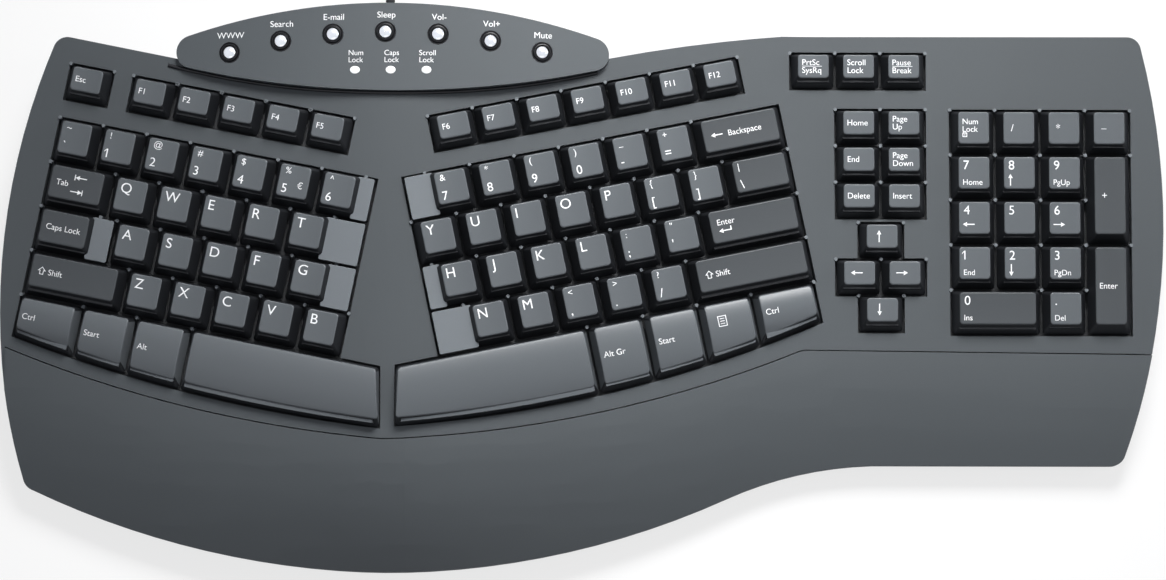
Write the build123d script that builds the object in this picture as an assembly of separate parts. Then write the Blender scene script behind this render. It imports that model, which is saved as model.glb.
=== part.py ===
from build123d import *
import os
from math import atan2, cos, degrees, exp, hypot, radians, sin, sqrt, tan
from typing import NamedTuple

# Ergonomic keyboard: tented, split key blocks, number pad, palm rest and hot-key panel
# Millimetres, X to the right, Y to the back, Z up, standing on Z 0

# Deck: two planes that rise to a ridge between the hands, and a flatter one under the number pad
tent_angle = 6.5
block_turn = 12.0
back_slope = 2.0
numpad_fall = 1.0
ridge_x = -81.0
ridge_height = 40.5
ridge_radius = 180.0
numpad_height = 19.5
numpad_x = 170.0
valley_radius = 150.0
reference_y = 60.0

# Back left corner of each block of keys. The right block counts its columns from far to its left.
left_corner = (-219.9, 72.6)
right_corner = (-195.7, 19.2)
numpad_corner = (154.7, 76.4)

# Outline of the case in plan, corner by corner
back_left = (-221.0, 107.6)
left_bulge = (-244.65, -4.5)
front_left = (-234.0, -82.0)
front_left_mid = (-166.8, -106.6)
front_low = (-84.0, -118.0)
front_right_mid = (-10.6, -110.3)
front_rise = (60.3, -87.1)
front_level = (121.4, -73.1)
front_right = (226.1, -73.3)
right_bulge = (244.65, 31.4)
back_right = (234.8, 107.8)
back_step = (84.0, 107.4)
back_step_mid = (46.0, 102.8)
back_middle_right = (5.0, 95.2)
back_middle_left = (-165.0, 95.2)
corner_radius = 6.0
front_blend_radius = 300.0

# Hot-key panel: a lens between two arcs, with a cylindrical top
panel_left = (-186.5, 98.0)
panel_back = (-82.0, 118.0)
panel_right = (27.0, 96.6)
panel_front = (-76.4, 81.0)
panel_tip_radius = 7.0
panel_height = 43.0
panel_top_radius = 454.0
panel_wall = 2.2
panel_ledge = 2.0
panel_opening_inset = 3.5

# Shells
cover_wall = 2.5
base_height = 1.5
base_wall = 2.0
parting_height = 5.5
base_inset = 1.2
well_gap = 0.35
well_skirt = 4.5
island_width = 5.8
skirt_wall = 1.2

# Palm rest and its seam with the cover
seam_left = (-242.3, -24.0)
seam_left_mid = (-163.4, -50.2)
seam_low = (-82.6, -63.9)
seam_right_mid = (0.0, -53.6)
seam_level = (92.0, -25.2)
seam_right = (246.0, -26.9)
seam_low_radius = 60.0
seam_level_radius = 10.0
seam_gap = 0.5
rest_rise = 0.8
rest_front_height = 10.0
rest_bulge = 5.5
rest_bulge_width = 95.0
rest_wall = 3.0
rest_smoothing = 14.0
rest_margin = 6.0
rest_columns = 20
rest_rows = 6

# Keys
key_pitch = 19.05
key_gap = 0.5
key_top = 5.5
key_skirt = 1.0
key_side = 2.7
key_back_slope = 0.9
key_front_slope = 3.9
key_wall = 1.2
key_roof = 1.5
key_dish = 0.6
step_height = 2.0
travel = 3.5
short_depth = 15.45
wide_side = 1.8
bottom_depth = 29.0
bottom_front_angle = 27.0
stem_width = 5.8
stem_reach = 6.4
post_width = 3.6
post_inset = 8.5
post_key_width = 2.2
guide_clearance = 0.3

# Layers below the keys, measured down from the deck surface
skirt_gap = 0.2
plate_thickness = 1.3
plate_margin = 1.6
dome_gap = 0.2
dome_height = 3.7
dome_width = 6.4
dome_inset = 1.4
dome_sheet = 0.5
contact_sheet = 0.6
layer_gap = 0.15
ridge_gap = 1.2

# Hot-key buttons and indicators
button_arc_radius = 273.9
button_middle = (-82.4, 105.7)
button_spacing = 22.0
button_radius = 3.75
button_clearance = 0.15
button_proud = 1.6
button_shoulder_radius = 2.9
button_crown_radius = 1.4
button_sides = 12
button_ring_radius = 4.6
button_ring_depth = 0.7
button_flange_width = 9.4
button_flange = 1.0
button_flange_gap = 0.3
button_stem_width = 3.0
button_stem = 4.2
button_travel = 1.0
strip_gap = 0.2
strip_thickness = 1.0
strip_inset = 8.0
strip_post = 3.0
strip_posts = (-2.5, -0.5, 0.5, 2.5)
strip_post_gap = 0.5
indicator_spacing = 14.9
indicator_middle = (-80.1, 89.6)
indicator_width = 3.6
indicator_depth = 2.8
indicator_corner = 0.9
indicator_length = 5.0
indicator_clearance = 0.05

# Rubber pads, folding feet and screws
pad_radius = 6.0
pad_sides = 10
pad_height = 2.1
pad_clearance = 0.2
pad_places = [(-226.0, 70.0), (-222.0, -70.0), (-84.0, -104.0), (112.0, -62.0), (216.0, -60.0), (222.0, 70.0)]
foot_places = [(-197.0, 89.0), (190.0, 89.0)]
foot_width = 30.0
foot_length = 20.0
foot_thickness = 3.2
foot_clearance = 0.4
foot_pin_radius = 1.5
foot_pin_length = 1.4
foot_pin_clearance = 0.08
foot_sides = 12
pocket_wall = 2.0
screw_places = [(-232.5, 36.0), (237.5, 30.0), (-81.0, 62.0), (-84.0, -84.0), (-205.0, -62.0), (180.0, -42.0)]
screw_radius = 1.5
screw_sides = 6
screw_head_radius = 2.8
screw_head = 2.0
screw_length = 9.0
screw_clearance = 0.1
screw_tip_gap = 1.0
boss_radius = 3.6
boss_joint = 9.0
rib_places = [-218.0, -174.0, -130.0, -32.0, 16.0, 64.0, 125.0, 160.0, 195.0, 222.0]
rib_thickness = 1.6

# Circuit board on its posts under the ridge
board_place = (-81.0, 20.0)
board_width = 60.0
board_depth = 40.0
board_thickness = 1.6
board_height = 9.0
board_post = 5.0
chip_size = 9.0
chip_height = 1.6

# Lead: strain relief, free stretch, hank and plug
cable_diameter = 3.4
cable_turn_share = 0.45
exit_x = -82.0
exit_height = 13.0
relief_root_radius = 2.3
relief_tip_radius = 2.0
relief_length = 8.0
relief_flange_radius = 4.0
relief_flange = 1.6
relief_clearance = 0.1
relief_sides = 12
cable_points = [(-82.0, 139.0, 13.0), (-79.5, 150.5, 10.4), (-71.0, 158.5, 6.2), (-58.0, 159.5, 2.9)]
cable_sides = 6
hank_place = (5.0, 185.0)
hank_run = 66.0
hank_layers = 4
hank_turns = 2
hank_outer = 25.5
hank_step = 2.1
hank_layer = 4.1
hank_drop_run = 56.0
tie_thickness = 0.9
tie_width = 8.0
tie_gap = 0.3
plug_length = 28.0
plug_width = 15.0
plug_thickness = 7.6
plug_edge = 1.5
plug_shell_length = 12.0
plug_shell_width = 12.0
plug_shell_thickness = 4.5
plug_shell_wall = 0.4
plug_shell_floor = 1.0
plug_tongue_thickness = 1.8


class Key(NamedTuple):
    """One key: its cell on the deck, and how far a low step reaches in from its left and right."""

    left: float
    back: float
    width: float
    depth: float
    step_left: float = 0.0
    step_right: float = 0.0


# Deck surface

far = 300.0


def rise(angle):
    """Rise over run of a slope given in degrees."""
    return tan(radians(angle))


tent_slope = rise(tent_angle)
fall_slope = rise(numpad_fall)
back_rise = rise(back_slope)
valley_x = (ridge_height + tent_slope * ridge_x - numpad_height - fall_slope * numpad_x) / (
    tent_slope - fall_slope
)


def plane_height(x):
    """Height of the deck planes along the reference row, with the ridge left sharp."""
    if x < valley_x:
        return ridge_height - tent_slope * abs(x - ridge_x)
    return numpad_height - fall_slope * (x - numpad_x)


def deck_height(x, y):
    """Height of the deck at a place, with the ridge rounded."""
    height = plane_height(x)
    if abs(x - ridge_x) < ridge_radius * sin(radians(tent_angle)):
        round_centre = ridge_height - ridge_radius / cos(radians(tent_angle))
        height = round_centre + sqrt(ridge_radius**2 - (x - ridge_x) ** 2)
    return height + back_rise * (y - reference_y)


def standing_profile(line, floor, y, height):
    """Face in an upright plane across the case, between a line of x and z points and a floor."""
    face = make_face(line.edges() + floor.edges())
    return Pos(0, y, height) * Rot(X=90) * face


def under_deck(drop):
    """Everything below the deck surface, lowered by a drop."""
    start = -far / 2
    corners = [(x, plane_height(x)) for x in (-far, ridge_x, valley_x, far)]
    line = FilletPolyline(*corners, radius=[ridge_radius, valley_radius])
    floor = Polyline(corners[-1], (far, -far), (-far, -far), corners[0])
    face = standing_profile(line, floor, start, back_rise * (start - reference_y) - drop)
    return extrude(face, amount=far, dir=(0, cos(radians(back_slope)), sin(radians(back_slope))))


def under_panel(drop):
    """Everything below the cylindrical top of the hot-key panel, lowered by a drop."""
    start = 0.0
    half = far / 2
    left, right = ridge_x - half, ridge_x + half
    sag = panel_top_radius - sqrt(panel_top_radius**2 - half**2)
    line = ThreePointArc((left, -sag), (ridge_x, 0), (right, -sag))
    floor = Polyline((right, -sag), (right, -far), (left, -far), (left, -sag))
    face = standing_profile(line, floor, start, panel_height - drop)
    return extrude(face, amount=far, dir=(0, 1, 0))


def deck_plane(corner, turn, slope, known_x, known_height):
    """Plane on the deck at a block's back left corner, with its X axis along the rows of keys."""
    height = known_height + slope * (corner[0] - known_x) + back_rise * (corner[1] - reference_y)
    across = (cos(radians(turn)), sin(radians(turn)))
    along = Vector(*across, slope * across[0] + back_rise * across[1])
    return Plane(origin=(*corner, height), x_dir=along, z_dir=Vector(-slope, -back_rise, 1))


left_plane = deck_plane(left_corner, -block_turn, tent_slope, ridge_x, ridge_height)
right_plane = deck_plane(right_corner, block_turn, -tent_slope, ridge_x, ridge_height)
numpad_plane = deck_plane(numpad_corner, 0, -fall_slope, numpad_x, numpad_height)


# Plan outlines

def closed(*pieces):
    """Face inside a ring of lines and arcs."""
    edges = []
    for piece in pieces:
        edges += piece.edges()
    return make_face(edges)


def disc(points, less):
    """Disc inside the circle through three points, drawn in all round."""
    arc = ThreePointArc(*points)
    return Pos(arc.arc_center.X, arc.arc_center.Y) * Circle(arc.radius - less)


def panel_outline(less=0.0):
    """Lens of the hot-key panel, drawn in all round."""
    back, front = (panel_left, panel_back, panel_right), (panel_right, panel_front, panel_left)
    lens = disc(back, less) & disc(front, less)
    return fillet(lens.vertices(), max(panel_tip_radius - less, 1))


def case_outline():
    """Outline of the case seen from above."""
    front = ThreePointArc(front_low, front_right_mid, front_rise)
    body = closed(
        ThreePointArc(back_left, left_bulge, front_left),
        ThreePointArc(front_left, front_left_mid, front_low),
        front,
        TangentArc(front_rise, front_level, tangent=front % 1),
        Line(front_level, front_right),
        ThreePointArc(front_right, right_bulge, back_right),
        Line(back_right, back_step),
        ThreePointArc(back_step, back_step_mid, back_middle_right),
        Line(back_middle_right, back_middle_left),
        Line(back_middle_left, back_left),
    )
    corners = [v for v in body.vertices() if near(v, back_left, front_left, front_right, back_right)]
    body = fillet(corners, corner_radius)
    return fillet([v for v in body.vertices() if near(v, front_low)], front_blend_radius)


def near(vertex, *places):
    """True where a vertex lies on one of the places."""
    return any(hypot(vertex.X - x, vertex.Y - y) < 0.01 for x, y in places)


def seam_line(shift):
    """The seam from left to right, moved towards the back by a shift."""
    left = ThreePointArc(seam_left, seam_left_mid, seam_low)
    right = ThreePointArc(seam_low, seam_right_mid, seam_level)
    level = Line(seam_level, seam_right)
    return Pos(0, shift, 0) * Curve([*left.edges(), *right.edges(), *level.edges()])


def front_of_seam(shift):
    """Plan face of everything in front of the seam."""
    seam = seam_line(shift)
    start, end = seam_left, seam_right
    ring = Polyline(
        (end[0], end[1] + shift), (end[0], -far), (start[0], -far), (start[0], start[1] + shift)
    )
    region = closed(seam, ring)
    low = (seam_low[0], seam_low[1] + shift)
    level = (seam_level[0], seam_level[1] + shift)
    region = fillet([v for v in region.vertices() if near(v, low)], seam_low_radius)
    return fillet([v for v in region.vertices() if near(v, level)], seam_level_radius).face()


def prism(face, low=-50.0, high=150.0):
    """Upright solid on a plan face."""
    return extrude(Pos(0, 0, low) * face, amount=high - low, dir=(0, 0, 1))


body_outline = case_outline()


def inside(amount):
    """Outline of the case and panel together, drawn in all round."""
    if amount == 0:
        return body_outline + panel_outline()
    return offset(body_outline, -amount) + panel_outline(amount)


# Key cells on each block, in millimetres from its back left corner

def cells(first, row, count=1, width=1.0):
    """Cells of a row of equal keys, with the first column and the width in key pitches."""
    size = width * key_pitch
    keys = [Key((first + i * width) * key_pitch, -row * key_pitch, size, key_pitch) for i in range(count)]
    return keys


def short_cells(left, back, count, pitch=key_pitch):
    """Cells of a row of the shallow keys round the edge of the board."""
    return [Key(left + i * pitch, back, key_pitch, short_depth) for i in range(count)]


def stepped(key, left=0.0, right=0.0):
    """A key with a low step added to one side of its cell."""
    return Key(key.left - left, key.back, key.width + left + right, key.depth, left, right)


inner_edge_left = 7.25 * key_pitch
inner_edge_right = 6.5 * key_pitch
bottom_back = -4 * key_pitch
function_back = 23.2
function_pitch_left = 19.3
function_left = 27.3
function_right = 139.3
left_bottom_edges = [-0.3, 27.0, 50.4, 74.4, 175.0]
right_bottom_edges = [90.0, 187.0, 210.8, 234.2, 257.6, 285.0]


def bottom_cell(edges, number):
    """Cell of a deep key in the bottom row, between two of the row's edges."""
    return Key(edges[number], bottom_back, edges[number + 1] - edges[number], bottom_depth)


number_left = cells(0, 0, 6)
top_left = cells(1.5, 1, 4)
home_left = cells(1.75, 2, 4)
left_block = {
    "escape_key": short_cells(-0.3, function_back, 1),
    "function_keys_left": short_cells(function_left, function_back, 5, function_pitch_left),
    "number_keys_left": number_left + [stepped(*cells(6, 0), right=inner_edge_left - 7 * key_pitch)],
    "tab_key": cells(0, 1, 1, 1.5),
    "top_letter_keys_left": top_left + [stepped(*cells(5.5, 1), right=inner_edge_left - 6.5 * key_pitch)],
    "caps_lock_key": [stepped(*cells(0, 2, 1, 1.375), right=0.375 * key_pitch)],
    "home_letter_keys_left": home_left + [stepped(*cells(5.75, 2), right=inner_edge_left - 6.75 * key_pitch)],
    "left_shift_key": cells(0, 3, 1, 2.25),
    "bottom_letter_keys_left": cells(2.25, 3, 5),
    "left_control_key": [bottom_cell(left_bottom_edges, 0)],
    "left_start_key": [bottom_cell(left_bottom_edges, 1)],
    "left_alt_key": [bottom_cell(left_bottom_edges, 2)],
    "left_space_bar": [bottom_cell(left_bottom_edges, 3)],
}
right_block = {
    "function_keys_right": short_cells(function_right, function_back, 7),
    "number_keys_right": [stepped(*cells(7, 0), left=7 * key_pitch - inner_edge_right)] + cells(8, 0, 5),
    "backspace_key": cells(13, 0, 1, 2.0),
    "top_letter_keys_right": cells(6.5, 1, 7),
    "backslash_key": cells(13.5, 1, 1, 1.5),
    "home_letter_keys_right": [stepped(*cells(6.75, 2), left=6.75 * key_pitch - inner_edge_right)]
    + cells(7.75, 2, 5),
    "enter_key": cells(12.75, 2, 1, 2.25),
    "bottom_letter_keys_right": [stepped(*cells(7.25, 3), left=7.25 * key_pitch - inner_edge_right)]
    + cells(8.25, 3, 4),
    "right_shift_key": cells(12.25, 3, 1, 2.75),
    "right_space_bar": [bottom_cell(right_bottom_edges, 0)],
    "right_alt_key": [bottom_cell(right_bottom_edges, 1)],
    "right_start_key": [bottom_cell(right_bottom_edges, 2)],
    "menu_key": [bottom_cell(right_bottom_edges, 3)],
    "right_control_key": [bottom_cell(right_bottom_edges, 4)],
}
system_left = -67.4
system_back_step = 0.9
navigation_left = -48.4
navigation_back = 0.2
arrow_back = navigation_back - 3 * short_depth - 1.6
arrow_left = navigation_left + key_pitch / 2
numpad_block = {
    "system_keys": short_cells(system_left, function_back + system_back_step, 3),
    "navigation_keys": short_cells(navigation_left, navigation_back, 2)
    + short_cells(navigation_left, navigation_back - short_depth, 2)
    + short_cells(navigation_left, navigation_back - 2 * short_depth, 2),
    "arrow_keys": short_cells(arrow_left, arrow_back, 1)
    + short_cells(navigation_left, arrow_back - short_depth, 2)
    + short_cells(arrow_left, arrow_back - 2 * short_depth, 1),
    "numpad_single_keys": cells(0, 0, 4) + cells(0, 1, 3) + cells(0, 2, 3) + cells(0, 3, 3) + cells(2, 4),
    "numpad_zero_key": cells(0, 4, 1, 2.0),
    "numpad_plus_key": [Key(3 * key_pitch, -key_pitch, key_pitch, 2 * key_pitch)],
    "numpad_enter_key": [Key(3 * key_pitch, -3 * key_pitch, key_pitch, 2 * key_pitch)],
}
bottom_row = {"left_control_key", "left_start_key", "left_alt_key", "left_space_bar", "right_space_bar",
              "right_alt_key", "right_start_key", "menu_key", "right_control_key"}

# Front edge of the bottom row of each block, an arc on its deck, from left to right
left_front = [(-12.0, -92.0), (82.0, -102.7), (175.0, -99.6)]
right_front = [(85.0, -98.4), (190.0, -104.9), (296.0, -91.2)]


# Keycaps

def tapered(left, back, width, depth, low, high, side, rear, front):
    """Four-sided block on a rectangle, drawn in at its top by a side, a rear and a front amount."""
    block = Wedge(width, high - low, depth, side, rear, width - side, depth - front, align=Align.MIN)
    return Pos(left, back, low) * Rot(X=90) * block


def shell(left, back, width, depth, side, front):
    """Outer block and cavity of a hollow keycap."""
    outer = tapered(left, back, width, depth, -key_skirt, key_top, side, key_back_slope, front)
    roof = key_top - key_dish - key_roof
    share = (roof + key_skirt) / (key_top + key_skirt)
    cavity = tapered(
        left + key_wall, back - key_wall, width - 2 * key_wall, depth - 2 * key_wall, -key_skirt, roof,
        side * share, key_back_slope * share, front * share,
    )
    return outer, cavity


def stems(key):
    """Places and widths of a key's stem and of the side posts that keep a wide key level."""
    left = key.left + key.step_left
    width = key.width - key.step_left - key.step_right
    depth = min(key.depth, key_pitch) if key.depth < 1.8 * key_pitch else key.depth
    x, y = left + width / 2, key.back - depth / 2
    places = [(x, y, stem_width)]
    if width > post_key_width * key_pitch:
        places += [(left + post_inset, y, post_width), (left + width - post_inset, y, post_width)]
    return places


def upright(x, y, width, low, high):
    """Square post on the deck."""
    return Pos(x, y, (low + high) / 2) * Box(width, width, high - low)


def dish(half, length):
    """Flat-sided trough along a key's top, as deep in its middle as the dish."""
    floor = half / 3
    outside = half + (half - floor)
    corners = [(-outside, key_dish), (-floor, -key_dish), (floor, -key_dish), (outside, key_dish)]
    return Rot(X=90) * extrude(make_face(Polyline(*corners, close=True)), amount=length)


def keycap(key):
    """Hollow keycap with its stem, a dished top and a low step where the key has one."""
    left = key.left + key.step_left + key_gap
    width = key.width - key.step_left - key.step_right - 2 * key_gap
    back, depth = key.back - key_gap, key.depth - 2 * key_gap
    outer, cavity = shell(left, back, width, depth, key_side, key_front_slope)
    cap = outer
    if key.step_left or key.step_right:
        step = Box(key.width - 2 * key_gap, depth, step_height + key_skirt, align=Align.MIN)
        cap += Pos(key.left + key_gap, back - depth, -key_skirt) * step
    if key.width < 1.3 * key_pitch and key.depth < 1.3 * key_pitch:
        cap -= Pos(left + width / 2, back + key_gap, key_top) * dish(width / 2 - key_side, key.depth)
    cap -= cavity
    roof = key_top - key_dish - key_roof
    for x, y, size in stems(key):
        cap += upright(x, y, size, -stem_reach, roof)
    return cap


def side_of_island(hand, away):
    """Upright space on one side of the strip between the space bars, a distance away from it."""
    middle = ridge_x + hand * (island_width / 2 + away + far / 2)
    return prism(Pos(middle, 0) * Rectangle(far, 2 * far))


def front_face(arc, back, forward):
    """Face on the deck between a line behind and the front arc, moved forward by a distance."""
    start, middle, end = [(x, y - forward) for x, y in arc]
    ring = Polyline(end, (end[0], back), (start[0], back), start)
    return closed(ThreePointArc(start, middle, end), ring)


def bottom_keycap(key, plane, arc, hand):
    """Keycap of the bottom row, whose front follows the arc of the well."""
    left, width = key.left + key_gap, key.width - 2 * key_gap
    back, depth = key.back - key_gap, key.depth
    outer, cavity = shell(left, back, width, depth, wide_side, key_front_slope)
    height = key_top + key_skirt
    room = front_face(arc, 2 * key_pitch, -key_gap)
    inner_room = front_face(arc, 2 * key_pitch, -key_gap - key_wall)
    lift = Pos(0, 0, -key_skirt)
    room = lift * extrude(room, amount=height, taper=bottom_front_angle)
    inner_room = lift * extrude(inner_room, amount=height, taper=bottom_front_angle)
    cap = (plane * (outer & room)) & side_of_island(hand, key_gap)
    cap -= (plane * (cavity & inner_room)) & side_of_island(hand, key_gap + key_wall)
    roof = key_top - key_dish - key_roof
    for x, y, size in bottom_stems(key, plane, hand):
        cap += plane * upright(x, y, size, -stem_reach, roof)
    return cap


def bottom_stems(key, plane, hand):
    """Stem and posts of a bottom key, kept on its own side of the island."""
    edge = plane.to_local_coords(Vector(ridge_x + hand * (island_width / 2 + key_gap), -45, 0)).X
    left, right = key.left, key.left + key.width
    if hand < 0:
        right = min(right, edge)
    else:
        left = max(left, edge)
    return stems(Key(left, key.back, right - left, key_pitch))


# Blocks of keys and the spaces that follow from them

def well_face(block, arc, grow):
    """Face on the deck round a block's keys, grown all round."""
    reach = well_gap + grow
    upper, lower = Sketch(), Sketch()
    for name, keys in block.items():
        for key in keys:
            size = Rectangle(key.width + 2 * reach, key.depth + 2 * reach)
            cell = Pos(key.left + key.width / 2, key.back - key.depth / 2) * size
            if name in bottom_row:
                lower += cell
            else:
                upper += cell
    if arc:
        lower = lower & front_face(arc, 2 * key_pitch, reach)
    return upper + lower


class Zone(NamedTuple):
    """A block of keys: its deck plane, front arc, side of the island, and the strips that tie its layers."""

    keys: dict
    plane: Plane
    arc: list
    hand: int
    ties: list


function_front = function_back - short_depth
system_front = function_front + system_back_step
navigation_front = navigation_back - 3 * short_depth
zones = [
    Zone(left_block, left_plane, left_front, -1, [
        (0, function_left + 5 * function_pitch_left, function_front, 0),
    ]),
    Zone(right_block, right_plane, right_front, 1, [
        (function_right, function_right + 7 * key_pitch, function_front, 0),
    ]),
    Zone(numpad_block, numpad_plane, None, 0, [
        (navigation_left, navigation_left + 2 * key_pitch, system_front, navigation_back),
        (navigation_left + 2 * key_pitch, 0, navigation_back, navigation_front),
    ]),
]


def well_solid(zone, grow, low, high):
    """Upright solid over a block's keys, between two heights on the deck."""
    face = well_face(zone.keys, zone.arc, grow)
    solid = zone.plane * (Pos(0, 0, low) * extrude(face, amount=high - low, dir=(0, 0, 1)))
    if zone.hand:
        solid = solid & side_of_island(zone.hand, -grow)
    return solid


def all_stems(zone):
    """Stems of a whole block."""
    found = []
    for name, keys in zone.keys.items():
        for key in keys:
            found += bottom_stems(key, zone.plane, zone.hand) if name in bottom_row else stems(key)
    return found


def slab(zone, low, high, inset):
    """Flat layer under a block between two depths below the deck, inside the case."""
    face = well_face(zone.keys, zone.arc, plate_margin)
    for left, right, back, front in zone.ties:
        tie = Rectangle(right - left, back - front + 2 * plate_margin)
        face += Pos((left + right) / 2, (back + front) / 2) * tie
    layer = zone.plane * (Pos(0, 0, -high) * extrude(face, amount=high - low, dir=(0, 0, 1)))
    layer = layer & prism(behind_seam(inside(inset), inset))
    if zone.hand:
        layer = layer & side_of_island(zone.hand, ridge_gap - island_width / 2)
    return layer - screw_columns(boss_radius + layer_gap * 2)


def behind_seam(face, inset):
    """Part of a plan face behind the seam, less a strip along the seam."""
    return face - front_of_seam(seam_gap / 2 + inset)


def columns(places, radius, sides, low, high):
    """Upright many-sided columns at a list of places."""
    column = extrude(RegularPolygon(radius, sides), amount=high - low)
    return [Pos(x, y, low) * column for x, y in places]


def screw_columns(radius, low=-far, high=far):
    """Upright columns on the screws."""
    return columns(screw_places, radius, screw_sides, low, high)


plate_depth = key_skirt + travel + skirt_gap
dome_top_depth = stem_reach + dome_gap
sheet_depth = dome_top_depth + dome_height
contact_depth = sheet_depth + dome_sheet
layers_bottom = contact_depth + contact_sheet
inner_inset = cover_wall + 2 * layer_gap
screw_bore_top = base_height + screw_head + screw_length + screw_tip_gap


def key_deck(zone):
    """Guide plate of a block, with a square hole for each stem."""
    plate = slab(zone, plate_depth, plate_depth + plate_thickness, inner_inset)
    low, high = -plate_depth - 2 * plate_thickness, -plate_depth + plate_thickness
    return plate - [
        zone.plane * upright(x, y, width + 2 * guide_clearance, low, high) for x, y, width in all_stems(zone)
    ]


def dome_layer(zone):
    """Rubber sheet of a block, with a dome under each key."""
    sheet = slab(zone, sheet_depth, contact_depth, inner_inset)
    dome = Pos(0, 0, -sheet_depth) * frustum(Rectangle(dome_width, dome_width), dome_inset, dome_height)
    return sheet + [zone.plane * (Pos(x, y) * dome) for x, y, width in all_stems(zone) if width == stem_width]


def frustum(face, inset, height):
    """Solid on a face, drawn in at its top by an inset."""
    return extrude(face, amount=height, taper=degrees(atan2(inset, height)))


def contact_layer(zone):
    """Contact sheet of a block."""
    return slab(zone, contact_depth, layers_bottom, inner_inset)


# Case shells

def top_cover():
    """Tented cover with a walled well round each block of keys."""
    cover = prism(behind_seam(inside(0), 0), parting_height) & under_deck(0)
    hollow = prism(behind_seam(inside(cover_wall), cover_wall)) & under_deck(cover_wall)
    cover -= hollow
    room = prism(behind_seam(inside(base_inset), base_inset))
    for zone in zones:
        cover += well_solid(zone, skirt_wall, -well_skirt, -cover_wall / 2) & room
    for boss, (x, y) in zip(screw_columns(boss_radius, boss_joint), screw_places):
        if y > seam_y(x):
            cover += boss & under_deck(cover_wall / 2)
    for zone in zones:
        cover -= well_solid(zone, 0, -ridge_height, ridge_height)
    cover -= screw_columns(screw_radius + screw_clearance, 0, screw_bore_top)
    cover -= prism(panel_outline(panel_opening_inset))
    return cover - relief_bore()


def arc_y(points, x):
    """Height of the lower half of a circle through three points."""
    arc = ThreePointArc(*points)
    middle, radius = arc.arc_center, arc.radius
    return middle.Y - sqrt(radius**2 - (x - middle.X) ** 2)


def seam_y(x):
    """Where the seam crosses a line from front to back."""
    if x < seam_low[0]:
        return arc_y((seam_left, seam_left_mid, seam_low), x)
    if x < seam_level[0]:
        return arc_y((seam_low, seam_right_mid, seam_level), x)
    return seam_level[1]


def front_y(x):
    """Where the front edge crosses a line from front to back."""
    if x < front_low[0]:
        return arc_y((front_left, front_left_mid, front_low), x)
    if x < front_level[0]:
        return min(front_level[1], arc_y((front_low, front_right_mid, front_rise), x))
    return front_level[1]


def smoothed(line, x):
    """Place of a plan line at x, averaged over its neighbourhood."""
    steps = [(i, exp(-(i**2) / 8)) for i in range(-4, 5)]
    total = sum(share * line(x + i * rest_smoothing / 2) for i, share in steps)
    return total / sum(share for _, share in steps)


def rest_height(x, y):
    """Height of the palm rest: level with the deck at the seam, falling ever faster to the front edge."""
    back, front = smoothed(seam_y, x), smoothed(front_y, x)
    top = deck_height(x, back) + rest_rise
    low = rest_front_height + rest_bulge * exp(-(((x - front_low[0]) / rest_bulge_width) ** 2))
    return top + (low - top) * ((back - y) / (back - front)) ** 2


def under_rest():
    """Everything below the palm rest's surface."""
    side = right_bulge[0] + rest_margin
    front, back = front_low[1] - rest_margin, seam_left[1] + 3 * rest_margin
    rows = []
    for j in range(rest_rows + 1):
        y = front + (back - front) * j / rest_rows
        xs = [-side + 2 * side * i / rest_columns for i in range(rest_columns + 1)]
        rows.append([Vector(x, y, rest_height(x, y)) for x in xs])
    face = Face.make_surface_from_array_of_points(rows, tol=0.1)
    return extrude(face, amount=ridge_height, dir=(0, 0, -1))


def rest_slope(left, right):
    """Everything under a flat slope between two places across, a wall below the palm rest's surface."""
    middle = (left + right) / 2
    back, front = seam_y(middle), front_y(middle)
    across = (plane_height(right) - plane_height(left)) / (right - left)
    along = (rest_height(middle, back) - rest_height(middle, front)) / (back - front)
    depths = []
    for x in (left, middle, right):
        for y in (seam_y(x), (seam_y(x) + front_y(x)) / 2, front_y(x)):
            depths.append(rest_height(x, y) - across * x - along * y - rest_wall)
    slope = Plane(origin=(0, 0, min(depths)), z_dir=(-across, -along, 1))
    space = slope * Box(2 * far, 2 * far, far, align=(Align.CENTER, Align.CENTER, Align.MAX))
    return space & prism(Pos(middle, 0) * Rectangle(right - left, 2 * far))


def palm_rest():
    """Palm rest in front of the seam, hollow under three flat slopes, with its screw bosses."""
    rest = prism(inside(0) & front_of_seam(-seam_gap / 2), parting_height) & under_rest()
    room = prism(inside(rest_wall) & front_of_seam(-seam_gap / 2 - rest_wall))
    edges = [left_bulge[0], ridge_x, valley_x, right_bulge[0]]
    for left, right in zip(edges, edges[1:]):
        rest -= (room & rest_slope(left, right)) - screw_columns(boss_radius, boss_joint)
    return rest - screw_columns(screw_radius + screw_clearance, 0, screw_bore_top)


def bottom_case():
    """Tray with ribs under the key layers, screw bosses, posts for the board and pockets for the feet."""
    tray = prism(inside(base_inset), base_height, parting_height)
    tray -= prism(inside(base_inset + base_wall), base_height + base_wall)
    floor = base_height + base_wall
    drop = layers_bottom / left_plane.z_dir.Z + layer_gap
    room = prism(behind_seam(inside(inner_inset), inner_inset), base_height) & under_deck(drop)
    ribs = [Pos(x, 0, far / 2) * Box(rib_thickness, far, far) & room for x in rib_places]
    tray += ribs
    for i in (-1, 1):
        for j in (-1, 1):
            x = board_place[0] + i * (board_width / 2 - board_post)
            y = board_place[1] + j * (board_depth / 2 - board_post)
            tray += upright(x, y, board_post, base_height, board_height)
    tray += [pocket_block(place) for place in foot_places]
    tray -= screw_columns(boss_radius + 2 * layer_gap, floor)
    tray += screw_columns(boss_radius, base_height, boss_joint)
    tray -= screw_columns(screw_radius + 2 * screw_clearance, 0)
    tray -= screw_columns(screw_head_radius + screw_clearance, 0, base_height + screw_head)
    tray -= columns(pad_places, pad_radius + pad_clearance, pad_sides, 0, pad_height)
    for place in foot_places:
        tray -= pocket(place)
    return tray


# Folding feet

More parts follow.
